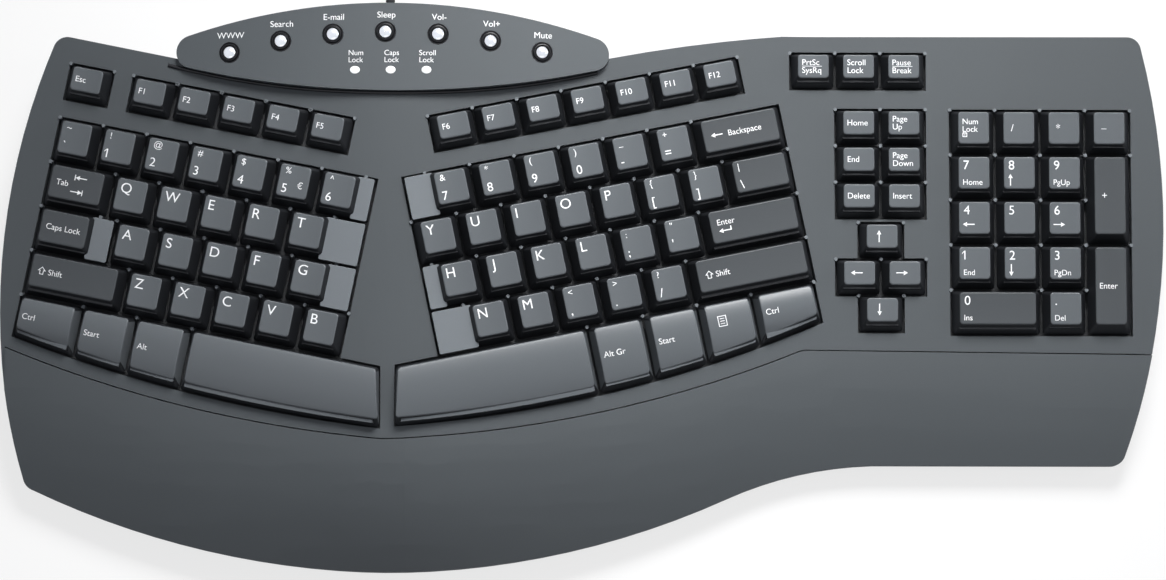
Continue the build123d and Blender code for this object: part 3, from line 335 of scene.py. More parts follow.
LEAD_ROUTE = [(-82.0, 118.0, 13.0), (-82.0, 126.0, 13.0), (-82.0, 139.0, 13.0), (-79.5, 150.5, 10.4),
              (-71.0, 158.5, 6.2), (-58.0, 159.5, 2.9), (-28.0, 159.5, 2.9)]
LEAD_WIDTH = 3.4
HANK_PLACE = (5.0, 185.0)
HANK_RUN = 66.0
HANK_OUTER = 25.5
HANK_STEP = 2.1
HANK_LAYER = 4.1
HANK_FLOOR = 2.9
HANK_LAYERS = 4
HANK_DRAW = 2.4
FOLD_ANGLES = (-72, -36, 0, 36, 72)
FOLD_SHARE = 0.952
LANDING = [(38.0, 15.2), (54.0, 15.2), (71.0, 9.4), (84.0, 3.8), (94.0, 3.8), (97.4, 3.8)]
PLUG_PLACE = (97.4, 159.5, 3.8)
PLUG_SIZE = (28.0, 15.0, 7.6)
TIE_WIDTH = 7.0
TIE_THICKNESS = 0.8
TIE_LOW = 0.95
TIE_ROUND = 3.2
SLEEVE_FOOT = [(0, -4.2), (3.9, -4.2), (3.9, -2.7), (2.25, -2.7), (2.25, 0.4)]
SLEEVE_RING = [(2.25, 0.6), (2.25, 1.35), (1.97, 1.45), (1.97, 1.95)]
SLEEVE_RINGS = 5
SLEEVE_SPACING = 1.45
SLEEVE_TAPER = 0.07
SLEEVE_END = [(1.85, 7.9), (0, 7.9)]
GROOVES = 4
GROOVE_START = 10.5
GROOVE_SPACING = 2.4

# Stage: each lamp's name, place, target, power, size and spread, and the photograph's camera

LAMPS = [
    ("back_softbox", (0.15, 0.62, 0.62), (0.05, 0.04, 0.02), 1.9, (0.45, 0.35), 60),
    ("right_softbox", (1.4, 0.3, 0.7), (-0.05, 0.0, 0.02), 0.5, (0.7, 0.7), 60),
    ("front_fill", (0.1, -1.3, 0.9), (0, 0, 0), 0.5, (1.4, 0.8), 120),
]
WORLD_COLOUR = (0.9, 0.93, 1.0, 1)
WORLD_LIGHT = 0.22
WORLD_SEEN = 1.0
FLOOR_HALF = 6
FLOOR_GLOW = 0.75
CAMERA_RISE = radians(83)
CAMERA_DISTANCE = 1.5
CAMERA_TARGET = (0, 0, 0.02)
SENSOR_WIDTH = 36
LENS = 3574 * SENSOR_WIDTH / 1166

# Sizes and colours a user may change


def length_setting(name, description, default, low, high):
    """A length in millimetres that a user may change."""
    return bpy.props.FloatProperty(
        name=name, description=description, default=default * MM, min=low * MM, max=high * MM, unit="LENGTH")


def colour_setting(name, description, default):
    """A colour that a user may change."""
    return bpy.props.FloatVectorProperty(
        name=name, description=description, subtype="COLOR", default=default, min=0, max=1)


class KeyboardSettings(bpy.types.PropertyGroup):
    """Sizes and colours of the keyboard's dressing."""

    corner_round: length_setting("Keycap corner", "Radius of a keycap's upright corners", 1.3, 0.2, 2.5)
    rim_round: length_setting("Keycap rim", "Radius round the top of a keycap", 0.45, 0.1, 0.9)
    dish: length_setting("Keycap dish", "Depth of the hollow in a letter key", 0.6, 0, 1.2)
    crown: length_setting(
        "Bottom row crown", "Fall from the middle to the edges of a bottom-row key", 1.5, 0, 2)
    case_edge: length_setting("Case edge", "Radius of the shells' upper edges", 0.7, 0.1, 1.5)
    print_lift: length_setting("Print lift", "Thickness of the printed legends", 0.04, 0.01, 0.2)
    case_colour: colour_setting("Case", "Colour of the case plastic", (0.068, 0.076, 0.082))
    key_colour: colour_setting("Keys", "Colour of the key tops", (0.1, 0.11, 0.119))
    # Key sides far darker than the tops: painted shade, the caps being one plastic
    skirt_shade_colour: colour_setting("Key skirt shade", "Colour of the key sides, darkened as painted shade", (0.012, 0.013, 0.015))
    print_colour: colour_setting("Print", "Colour of the legends", (0.86, 0.87, 0.88))
    floor_colour: colour_setting("Floor", "Colour of the studio floor", (0.92, 0.92, 0.92))


# Materials


class Number:
    """A number in a material's node tree. Sums and products of numbers add Math nodes."""

    def __init__(self, material, socket):
        self.material, self.socket = material, socket

    def combined(self, operation, *values):
        return self.material.number("ShaderNodeMath", {"operation": operation}, dict(enumerate(values)))

    def __add__(self, other):
        return self.combined("ADD", self, other)

    def __radd__(self, other):
        return self.combined("ADD", other, self)

    def __sub__(self, other):
        return self.combined("SUBTRACT", self, other)

    def __mul__(self, other):
        return self.combined("MULTIPLY", self, other)


class Finish:
    """A material under construction, with one method for every node in it."""

    def __init__(self, name, **shader):
        self.made = bpy.data.materials.new(name)
        self.made.use_nodes = True
        self.tree = self.made.node_tree
        self.shader = self.tree.nodes["Principled BSDF"]
        self.set(self.shader, shader)

    def set(self, node, values):
        for key, value in values.items():
            name = key.replace("_", " ") if isinstance(key, str) else key
            socket = node.inputs[name]
            if isinstance(value, Number):
                value = value.socket
            if isinstance(value, bpy.types.NodeSocket):
                self.tree.links.new(value, socket)
            elif hasattr(value, "__len__") and len(value) < len(socket.default_value):
                socket.default_value = (*value, 1)
            else:
                socket.default_value = value

    def node(self, kind, settings=None, values=None):
        node = self.tree.nodes.new(kind)
        for name, value in (settings or {}).items():
            setattr(node, name, value)
        self.set(node, values or {})
        return node

    def number(self, kind, settings=None, values=None):
        return Number(self, self.node(kind, settings, values).outputs[0])

    def place(self):
        return self.node("ShaderNodeTexCoord").outputs["Object"]

    def noise(self, scale, detail=2.0, rough=0.5):
        values = {"Vector": self.place(), "Scale": scale, "Detail": detail, "Roughness": rough}
        return self.number("ShaderNodeTexNoise", None, values)

    def between(self, factor, low, high):
        mix = self.node("ShaderNodeMix", {"data_type": "RGBA"})
        self.set(mix, {0: factor, 6: low, 7: high})
        return mix.outputs[2]

    def bump(self, height, strength, distance):
        values = {"Strength": strength, "Distance": distance, "Height": height}
        bump = self.node("ShaderNodeBump", None, values)
        self.set(self.shader, {"Normal": bump.outputs[0]})


def shade(colour, amount):
    """A colour made lighter or darker."""
    return tuple(min(1, c * amount) for c in colour)


def grained(name, colour, roughness, grain=0.5, size=2600.0, spread=0.12, strength=0.25):
    """Moulded plastic with a fine spark-eroded grain, faint flow marks and uneven gloss."""
    finish = Finish(name, Specular_IOR_Level=0.3)
    fine = finish.noise(size, 3.0, 0.6)
    broad = finish.noise(14.0, 2.0)
    flecks = fine * 0.55 + broad * 0.45
    finish.set(finish.shader, {
        "Base Color": finish.between(flecks, shade(colour, 1 - spread), shade(colour, 1 + spread)),
        "Roughness": roughness + (fine - 0.5) * 0.16 + (broad - 0.5) * 0.05,
    })
    finish.bump(fine, strength, grain * 0.00006)
    return finish.made


def brushed(name, colour, roughness, stretch):
    """Metal with fine lines along X."""
    finish = Finish(name, Metallic=1.0)
    mapping = finish.node("ShaderNodeMapping", None, {"Vector": finish.place(), "Scale": stretch})
    lines = finish.number(
        "ShaderNodeTexNoise", None, {"Vector": mapping.outputs[0], "Scale": 900.0, "Detail": 3.0})
    finish.set(finish.shader, {
        "Base Color": finish.between(lines, shade(colour, 0.85), shade(colour, 1.1)),
        "Roughness": roughness + (lines - 0.5) * 0.14,
    })
    finish.bump(lines, 0.08, 0.00002)
    return finish.made


def rubber(name, colour):
    """Matt rubber with a dusty, slightly uneven skin."""
    finish = Finish(name, Specular_IOR_Level=0.3)
    dust = finish.noise(420.0, 5.0, 0.65)
    finish.set(finish.shader, {
        "Base Color": finish.between(dust, shade(colour, 0.8), shade(colour, 1.35)),
        "Roughness": 0.72 + (dust - 0.5) * 0.2,
    })
    finish.bump(dust, 0.15, 0.00004)
    return finish.made


def laminate(name):
    """Green circuit board with darker copper runs under its mask."""
    finish = Finish(name, Coat_Weight=0.3)
    runs = finish.node("ShaderNodeTexBrick", {"offset": 0.35}, {"Vector": finish.place(), "Scale": 60.0})
    runs.inputs["Mortar Size"].default_value = 0.06
    finish.set(finish.shader, {
        "Base Color": finish.between(runs.outputs["Fac"], (0.012, 0.075, 0.03), (0.03, 0.15, 0.05)),
        "Roughness": 0.38 + (finish.noise(700.0) - 0.5) * 0.1,
    })
    return finish.made


def printed(name, colour):
    """White pad print, a little thin in places."""
    finish = Finish(name, Specular_IOR_Level=0.3)
    wear = finish.noise(1500.0, 2.0)
    finish.set(finish.shader, {
        "Base Color": finish.between(wear, shade(colour, 0.94), shade(colour, 1.04)),
        "Roughness": 0.5 + (wear - 0.5) * 0.1,
    })
    return finish.made


def floor_finish(colour):
    """Pale studio floor that the camera sees near white, with the object's soft shadow."""
    finish = Finish("studio_floor", Base_Color=colour, Roughness=0.9, Specular_IOR_Level=0.1)
    glow = finish.node("ShaderNodeEmission", None, {"Color": (1, 1, 1), "Strength": 1.0})
    path = finish.node("ShaderNodeLightPath")
    seen = Number(finish, path.outputs["Is Camera Ray"])
    mix = finish.node("ShaderNodeMixShader", None, {0: seen * FLOOR_GLOW})
    finish.tree.links.new(finish.shader.outputs[0], mix.inputs[1])
    finish.tree.links.new(glow.outputs[0], mix.inputs[2])
    finish.tree.links.new(mix.outputs[0], finish.tree.nodes["Material Output"].inputs[0])
    return finish.made


finishes = {}


def finish_for(name):
    """One of the keyboard's finishes, made when it is first wanted."""
    if name not in finishes:
        look = bpy.context.scene.keyboard
        makers = {
            "case": lambda: grained("case_plastic", look.case_colour, 0.5),
            "panel": lambda: grained("panel_plastic", shade(look.case_colour, 1.12), 0.42, grain=0.4),
            "base": lambda: grained("base_plastic", (0.03, 0.032, 0.035), 0.55, size=1800.0),
            "key": lambda: grained("key_top_plastic", look.key_colour, 0.34, grain=0.3, strength=0.14),
            # Painted shade: the key sides as a near-black copy of the key plastic
            "skirt": lambda: grained("key_skirt_painted_shade", look.skirt_shade_colour, 0.4, grain=0.25, strength=0.15),
            # Painted shade: wide keys as a darker copy of the key plastic, for the highlight their flat tops
            # miss
            "wide": lambda: grained(
                "wide_key_painted_shade", shade(look.key_colour, 0.56), 0.4, grain=0.3, strength=0.14),
            # Lighter key steps; the corner posts take it too, as painted highlight
            "step": lambda: grained(
                "key_step_and_glint_plastic", shade(look.key_colour, 1.55), 0.55, grain=0.3, strength=0.18),
            "deck": lambda: grained("deck_plastic", (0.05, 0.052, 0.055), 0.6),
            "print": lambda: printed("legend_print", look.print_colour),
            "dome": lambda: rubber("dome_rubber", (0.55, 0.56, 0.55)),
            "film": lambda: grained("contact_film", (0.45, 0.5, 0.47), 0.3, spread=0.05),
            "board": lambda: laminate("board_laminate"),
            "window": lambda: grained("window_plastic", (0.88, 0.9, 0.9), 0.3, spread=0.02),
            # Black rings and button collars; the line under the panel takes it too, as painted shadow
            "ring": lambda: grained("black_ring_and_painted_shadow", (0.01, 0.01, 0.012), 0.3),
            "button": lambda: brushed("button_silver", (0.86, 0.87, 0.88), 0.22, (0.2, 0.2, 0.2)),
            "screw": lambda: brushed("screw_steel", (0.55, 0.56, 0.58), 0.35, (1, 0.1, 1)),
            "pad": lambda: rubber("pad_rubber", (0.02, 0.02, 0.021)),
            "cord": lambda: rubber("cord_jacket", (0.022, 0.023, 0.025)),
            "plug": lambda: grained("plug_plastic", (0.025, 0.026, 0.028), 0.5),
            "plug_steel": lambda: brushed("plug_steel", (0.7, 0.71, 0.73), 0.28, (0.1, 1, 1)),
            "tie": lambda: rubber("tie_strap", (0.03, 0.03, 0.032)),
        }
        finishes[name] = makers[name]()
    return finishes[name]


def paint_node(node, finish):
    """Give a CAD node one of the finishes."""
    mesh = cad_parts[node].data
    mesh.materials.clear()
    mesh.materials.append(finish_for(finish))


# Mesh helpers


def linked(name, data):
    """Object of some data, in the scene."""
    made = bpy.data.objects.new(name, data)
    bpy.context.scene.collection.objects.link(made)
    return made


def piece(name, bm, materials, body, replaces=(), soft_edge=40.0):
    """Make an object of a bmesh in metres, smooth but for its hard edges, and let it ride a body."""
    bmesh.ops.remove_doubles(bm, verts=bm.verts, dist=1e-7)
    for face in bm.faces:
        face.smooth = True
    for edge in bm.edges:
        edge.smooth = len(edge.link_faces) != 2 or edge.calc_face_angle(0) < radians(soft_edge)
    mesh = bpy.data.meshes.new(name)
    bm.to_mesh(mesh)
    bm.free()
    for material in materials:
        mesh.materials.append(finish_for(material))
    made = linked(name, mesh)
    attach(made, body)
    if replaces:
        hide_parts(*replaces)
    return made


def tube(name, kind, places, radius, rounding, finish):
    """Curve data of a round line along places in millimetres. It is complete before an object uses it."""
    curve = bpy.data.curves.new(name, "CURVE")
    curve.dimensions = "3D"
    spline = curve.splines.new(kind)
    spline.points.add(len(places) - 1)
    for point, place in zip(spline.points, places):
        point.co = (*(Vector(place) * MM), 1)
    curve.bevel_depth = radius * MM
    curve.bevel_resolution = rounding
    curve.materials.append(finish_for(finish))
    return curve


def weighted(made):
    """Keep large faces flat between rounded edges."""
    made.modifiers.new("flat faces", "WEIGHTED_NORMAL").keep_sharp = True
    return made


def add_mesh(bm, other, matrix=None):
    """Copy one bmesh into another, moved by a matrix."""
    if matrix:
        other.transform(matrix)
    mesh = bpy.data.meshes.new("part")
    other.to_mesh(mesh)
    other.free()
    bm.from_mesh(mesh)
    bpy.data.meshes.remove(mesh)


def slice_all(bm, place, way):
    """Cut everything in a bmesh along a plane."""
    bmesh.ops.bisect_plane(bm, geom=bm.verts[:] + bm.edges[:] + bm.faces[:], plane_co=place, plane_no=way)


def block(left, right, front, back, low, high, lean, cuts=0):
    """Block with leaning sides in millimetres. Left and right are functions of y, front is one of x."""
    bm = bmesh.new()
    bmesh.ops.create_cube(bm, size=1)
    for i in range(1, cuts):
        slice_all(bm, (i / cuts - 0.5, 0, 0), (1, 0, 0))
    lean_left, lean_right, lean_front, lean_back = lean
    for v in bm.verts:
        u, w, t = v.co.x + 0.5, v.co.y + 0.5, v.co.z + 0.5
        rough_x = left(back) + (right(back) - left(back)) * u
        y = front(rough_x) + (back - front(rough_x)) * w
        x = left(y) + (right(y) - left(y)) * u
        x += (lean_left * (1 - u) - lean_right * u) * t
        y += (lean_front * (1 - w) - lean_back * w) * t
        v.co = (x, y, low + (high - low) * t)
    return bm


def round_edges(bm, edges, radius, segments):
    """Round some edges."""
    bmesh.ops.bevel(
        bm, geom=edges, offset=radius, offset_type="OFFSET", affect="EDGES", segments=segments, profile=0.5,
        material=-1, clamp_overlap=True)


def upright_edges(bm):
    """Edges at a block's corners that run from its foot to its top."""
    found = []
    for edge in bm.edges:
        way = (edge.verts[1].co - edge.verts[0].co).normalized()
        if abs(way.z) > 0.75 and edge.calc_face_angle(0) > radians(40):
            found.append(edge)
    return found


def rim_edges(bm):
    """Edges round a block's top."""
    return [
        e for e in bm.edges
        if len(e.link_faces) == 2 and sorted(f.normal.z > 0.85 for f in e.link_faces) == [False, True]]


def hollow(bm, wall, roof, share):
    """Open a block from below, up to a roof."""
    foot = [f for f in bm.faces if f.normal.z < -0.85]
    bmesh.ops.inset_region(bm, faces=foot, thickness=wall, use_even_offset=True)
    made = bmesh.ops.extrude_face_region(bm, geom=foot)["geom"]
    raised = [v for v in made if isinstance(v, bmesh.types.BMVert)]
    middle = sum((v.co for v in raised), Vector()) / len(raised)
    for v in raised:
        v.co = ((v.co.x - middle.x) * share + middle.x, (v.co.y - middle.y) * share + middle.y, roof)
    bmesh.ops.delete(bm, geom=[f for f in foot if f.is_valid], context="FACES")


def top_fall(kind, settings, corners):
    """How far a cap's top falls at x and y, as a function, and the planes where the top is cut to bend."""
    left, right, front, back = corners
    middle_x, half_x = (left + right) / 2, (right - left) / 2
    middle_y, half_y = (front + back) / 2, (back - front) / 2
    dish, crown = settings.dish / MM, settings.crown / MM
    falls = {
        "deep": lambda x, y: crown * min(CROWN_LIMIT, abs((y - middle_y) / half_y)) ** CROWN_POWER,
        "wide": lambda x, y: WIDE_DISH * max(0.0, 1 - ((y - middle_y) / half_y) ** 2),
        "single": lambda x, y: dish * max(0.0, 1 - ((x - middle_x) / half_x) ** 2),
    }
    if kind == "single":
        return falls[kind], [((middle_x + half_x * share, 0, 0), (1, 0, 0)) for share in DISH_CUTS]
    shares = CROWN_CUTS if kind == "deep" else WIDE_CUTS
    return falls[kind], [((0, middle_y + half_y * share, 0), (0, 1, 0)) for share in shares]


def add_stem(bm, x, y):
    """Add the square stem that hangs under a cap."""
    stem = bmesh.new()
    bmesh.ops.create_cube(stem, size=1)
    # Stems take the near-black side finish, painted shade
    for face in stem.faces:
        face.material_index = SKIRT_SHADE
    size = Matrix.Diagonal((STEM_WIDTH, STEM_WIDTH, STEM_TOP + STEM_REACH, 1))
    add_mesh(bm, stem, Matrix.Translation((x, y, (STEM_TOP - STEM_REACH) / 2)) @ size)


def add_step(bm, left, right, front, back):
    """Add the low step beside a cap."""
    low = block(lambda y: left, lambda y: right, lambda x: front, back, -KEY_SKIRT, STEP_HEIGHT, (0, 0, 0, 0))
    low.normal_update()
    round_edges(low, upright_edges(low), STEP_ROUND, 3)
    low.normal_update()
    round_edges(low, rim_edges(low), STEP_RIM, 2)
    # Painted shade: the step's sides take the near-black side finish
    for face in low.faces:
        face.material_index = STEP if face.normal.z > 0.5 else SKIRT_SHADE
    add_mesh(bm, low)


def cap(cell, step, settings, front=None, island=None):
    """One keycap in its block's millimetres, its top surface as a function, and the top's corners."""
    left, back, width, depth = cell
    deep = front is not None
    side = WIDE_SIDE if deep else KEY_SIDE
    kind = "deep" if deep else "wide" if max(width, depth) > WIDE_FROM else "single"
    x0, x1 = left + KEY_GAP, left + width - KEY_GAP
    y0, y1 = back - depth + KEY_GAP, back - KEY_GAP
    left_edge = right_edge = None
    if island and abs(island(back) - x1) < ISLAND_REACH:
        right_edge = lambda y: min(x1, island(y))
    if island and abs(island(back) - x0) < ISLAND_REACH:
        left_edge = lambda y: max(x0, island(y))
    lean = (ISLAND_LEAN if left_edge else side, ISLAND_LEAN if right_edge else side,
            BOTTOM_FRONT_LEAN if deep else KEY_FRONT_SLOPE, KEY_BACK_SLOPE)
    bm = block(
        left_edge or (lambda y: x0), right_edge or (lambda y: x1), front or (lambda x: y0), y1, -KEY_SKIRT,
        KEY_TOP, lean, cuts=max(1, round(width / CUT_SPACING)) if deep else 1)
    bm.normal_update()
    round_edges(bm, upright_edges(bm), settings.corner_round / MM, 4)
    bm.normal_update()
    hollow(bm, KEY_WALL, KEY_ROOF, 1 - 2 * side * ROOM_SHARE / width)
    bm.normal_update()
    rim = [e for e in rim_edges(bm) if e.verts[0].co.z > CAP_TOP_LOW]
    round_edges(bm, rim, settings.rim_round / MM, 3)
    bm.normal_update()
    top_front = (front((x0 + x1) / 2) if deep else y0) + lean[2]
    corners = (x0 + lean[0], x1 - lean[1], top_front, y1 - lean[3])
    fall, cuts = top_fall(kind, settings, corners)
    for place, way in cuts:
        top = [f for f in bm.faces if min(v.co.z for v in f.verts) > CAP_TOP_LOW]
        geometry = top + list({e for f in top for e in f.edges}) + list({v for f in top for v in f.verts})
        bmesh.ops.bisect_plane(bm, geom=geometry, plane_co=place, plane_no=way)
    for v in bm.verts:
        if v.co.z > CAP_TOP_LOW:
            v.co.z -= fall(v.co.x, v.co.y)
    # Painted shade: faces below the top take the near-black side finish, and wide tops a darker copy of the
    # key finish
    for face in bm.faces:
        low = min(v.co.z for v in face.verts)
        is_top = low > CAP_FACE_LOW or deep and face.calc_center_median().z > DEEP_FACE_LOW
        face.material_index = (WIDE_SHADE if kind == "wide" else TOP) if is_top else SKIRT_SHADE
    stem_y = back - (min(depth, KEY_PITCH) if depth < TALL_FROM or deep else depth) / 2
    right_end = right_edge(stem_y) if right_edge else left + width
    left_end = left_edge(stem_y) if left_edge else left
    add_stem(bm, (left_end + right_end) / 2, stem_y)
    if step[0]:
        add_step(bm, left - step[0] + KEY_GAP, left + STEP_OVERLAP, y0, y1)
    if step[1]:
        add_step(bm, left + width - STEP_OVERLAP, left + width + step[1] - KEY_GAP, y0, y1)
    return bm, (lambda x, y: KEY_TOP - fall(x, y)), corners


def corner_glint_post():
    """Small lighter post between the corners of four keys: painted highlight, standing in for the light spots
    seen there.
    """
    glint_stub = bmesh.new()
    bmesh.ops.create_cone(glint_stub, cap_ends=True, segments=12, radius1=0.85, radius2=0.75, depth=5.2)
    bmesh.ops.translate(glint_stub, verts=glint_stub.verts, vec=(0, 0, -2.0))
    return glint_stub


def drape(bm, shift, surface, lift):
    """Move flat shapes sideways and lay them on a surface, in millimetres."""
    for v in bm.verts:
        x, y = v.co.x + shift[0], v.co.y + shift[1]
        v.co = (x, y, surface(x, y) + lift)


def flat_text(text, size):
    """A text as flat shapes that start at x of 0, with the first baseline at y of 0."""
    curve = bpy.data.curves.new("legend", "FONT")
    curve.body, curve.size = text, size
    curve.space_line = LINE_SPACE
    source = linked("legend", curve)
    mesh = bpy.data.meshes.new_from_object(source.evaluated_get(bpy.context.evaluated_depsgraph_get()))
    bpy.data.objects.remove(source)
    bpy.data.curves.remove(curve)
    glyphs = bmesh.new()
    glyphs.from_mesh(mesh)
    bpy.data.meshes.remove(mesh)
    start = min(v.co.x for v in glyphs.verts)
    bmesh.ops.translate(glyphs, verts=glyphs.verts, vec=(-start, 0, 0))
    return glyphs


def add_flag(bm, place, height, surface, lift):
    """Add the slanting stroke at the top of a figure one."""
    flag = bmesh.new()
    bmesh.ops.create_grid(flag, x_segments=1, y_segments=1, size=0.5)
    for v in flag.verts:
        u, w = v.co.x + 0.5, v.co.y + 0.5
        v.co = (-height * 0.26 * (1 - u), height * (0.73 + 0.27 * u - 0.13 * (1 - w)), 0)
    drape(flag, place, surface, lift)
    add_mesh(bm, flag)


def add_patch(bm, left, right, low, high):
    """Add a flat rectangle."""
    middle = Matrix.Translation(((left + right) / 2, (low + high) / 2, 0))
    size = Matrix.Diagonal(((right - left) / 2, (high - low) / 2, 1, 1))
    bmesh.ops.create_grid(bm, x_segments=1, y_segments=1, size=1, matrix=middle @ size)


def drawn_sign(sign):
    """A sign drawn round the origin as flat shapes: an arrow, a page of lines or a small lock."""
    bm = bmesh.new()
    if sign in ARROW_TURNS:
        add_patch(bm, -2.5, 1.0, -0.22, 0.22)
        head = Matrix.Translation((1.3, 0, 0)) @ Matrix.Rotation(-pi / 2, 4, "Z")
        bmesh.ops.create_circle(bm, cap_ends=True, segments=3, radius=1.15, matrix=head)
        if sign in "⇥⇤":
            add_patch(bm, 2.45, 2.85, -1.2, 1.2)
        if sign == "↵":
            add_patch(bm, -2.95, -2.5, -1.6, 0.22)
        bm.transform(Matrix.Rotation(radians(ARROW_TURNS[sign]), 4, "Z"))
        return bm
    half_x, half_y = (1.7, 2.1) if sign == "☰" else (0.85, 0.75)
    for way in (-1, 1):
        add_patch(bm, way * half_x - 0.16, way * half_x + 0.16, -half_y, half_y)
        add_patch(bm, -half_x - 0.16, half_x + 0.16, way * half_y - 0.16, way * half_y + 0.16)
    if sign == "☰":
        for line in (-1, 0, 1):
            add_patch(bm, -0.95, 0.95, line * 1.05 - 0.14, line * 1.05 + 0.14)
    else:
        add_patch(bm, -0.16, 0.16, -0.3, 0.3)
        add_patch(bm, -0.45, 0.45, 1.35, 1.6)
        for way in (-1, 1):
            add_patch(bm, way * 0.45 - 0.13, way * 0.45 + 0.13, 0.75, 1.5)
    return bm


def print_legend(bm, legend, corners, surface, lift):
    """Print one legend on a keycap."""
    text, style, *shift = legend
    dx, dy = shift or (0, 0)
    height, inset, anchor, margin = STYLES[style]
    left, right, front, back = corners
    size = height / CAPITAL_SHARE
    if anchor == "top":
        y = back - margin - height
    elif anchor == "bottom":
        y = front + margin
    else:
        y = (front + back - height + text.count("\n") * size * LINE_SPACE) / 2
    x, y = left + inset + dx, y + dy
    if text in ARROW_TURNS or text in "☰▯":
        sign = drawn_sign(text)
        bmesh.ops.subdivide_edges(sign, edges=[e for e in sign.edges if e.calc_length() > 2], cuts=3)
        drape(sign, (x - inset + SIGN_INSET if style == SIGN else x, y + height / 2), surface, lift)
        add_mesh(bm, sign)
        return
    glyphs = flat_text(text, size)
    if text in RULED_WORDS:
        add_patch(glyphs, 0, RULE_LENGTH, -0.6, -0.4)
    drape(glyphs, (x, y), surface, lift)
    add_mesh(bm, glyphs)
    if text == "1":
        add_flag(bm, (x, y), height, surface, lift)


def deck_surface(x, y):
    """Height of the deck, with its ridge and its valley rounded."""
    height = RIDGE_HEIGHT - TENT_SLOPE * abs(x - RIDGE_X)
    flat = NUMPAD_HEIGHT - FALL_SLOPE * (x - NUMPAD_X)
    if abs(x - RIDGE_X) < RIDGE_ROUND * sin(radians(TENT)):
        height = RIDGE_HEIGHT - RIDGE_ROUND / cos(radians(TENT)) + sqrt(RIDGE_ROUND**2 - (x - RIDGE_X) ** 2)
    valley = VALLEY_ROUND * tan(radians(TENT - FALL) / 2)
    if abs(x - VALLEY_X) < valley:
        height += (x - VALLEY_X + valley) ** 2 / (2 * VALLEY_ROUND)
    elif x > VALLEY_X:
        height = flat
    return height + BACK_RISE * (y - REFERENCE_Y)


def line_across(arcs, level, x):
    """Place on a plan line made of arcs (end, circle) and a level end."""
    for end, (cx, cy, radius) in arcs:
        if x < end:
            y = cy - sqrt(radius**2 - (x - cx) ** 2)
            return min(level, y) if end > 0 else y
    return level


def smoothed(arcs, level, x):
    """Place on a plan line at x, averaged over its neighbourhood."""
    steps = [(i, exp(-(i**2) / 8)) for i in range(-4, 5)]
    total = sum(share * line_across(arcs, level, x + i * REST_SMOOTHING / 2) for i, share in steps)
    return total / sum(share for _, share in steps)


def rest_surface(x, y):
    """Height of the palm rest: level with the deck at the seam, falling ever faster to the front edge."""
    back, front = smoothed(*SEAM, x), smoothed(*REST_FRONT, x)
    top = deck_surface(x, back) + REST_RISE
    low = REST_FRONT_HEIGHT + REST_BULGE * exp(-(((x - REST_CREST_X) / REST_BULGE_WIDTH) ** 2))
    return top + (low - top) * ((back - y) / (back - front)) ** 2


def panel_surface(x, y):
    """Height of the hot-key panel's top."""
    return PANEL_HEIGHT - PANEL_RADIUS + sqrt(PANEL_RADIUS**2 - (x - RIDGE_X) ** 2)


def button_frame(number):
    """Matrix from a hot key's own millimetres to the row frame."""
    x0, y0, radius, spacing = BUTTON_ARC
    angle = (number - MIDDLE_BUTTON) * spacing / radius
    x, y = x0 + radius * sin(angle), y0 - radius * (1 - cos(angle))
    lean = asin((x - RIDGE_X) / PANEL_RADIUS)
    place = Matrix.Translation((x, y, panel_surface(x, y))) @ Matrix.Rotation(lean, 4, "Y")
    return Matrix.Scale(MM, 4) @ place, (x, y)


def turned(profile, steps=48):
    """Closed solid of revolution round Z from a profile of (radius, height) points, in millimetres."""
    bm = bmesh.new()
    verts = [bm.verts.new((r, 0, z)) for r, z in profile]
    edges = [bm.edges.new(pair) for pair in zip(verts, verts[1:])]
    bmesh.ops.spin(
        bm, geom=verts + edges, cent=(0, 0, 0), axis=(0, 0, 1), angle=2 * pi, steps=steps, use_merge=True)
    bmesh.ops.remove_doubles(bm, verts=bm.verts, dist=1e-4)
    bmesh.ops.recalc_face_normals(bm, faces=bm.faces)
    return bm


def front_line(arc):
    """Front edge of the bottom row as a function of x."""
    cx, cy, radius = arc
    return lambda x: cy - sqrt(radius**2 - (x - cx) ** 2) + KEY_GAP


def island_line(matrix, hand):
    """Edge of the strip between the two space bars as a function of y, in a block's millimetres."""
    inverse = matrix.inverted()
    x = (RIDGE_X + hand * (ISLAND_HALF + KEY_GAP)) * MM
    near, far = (inverse @ Vector((x, y * MM, 0.035)) for y in (-20, -70))
    slope = (far.x - near.x) / (far.y - near.y)
    return lambda y: near.x + (y - near.y) * slope


# Operators


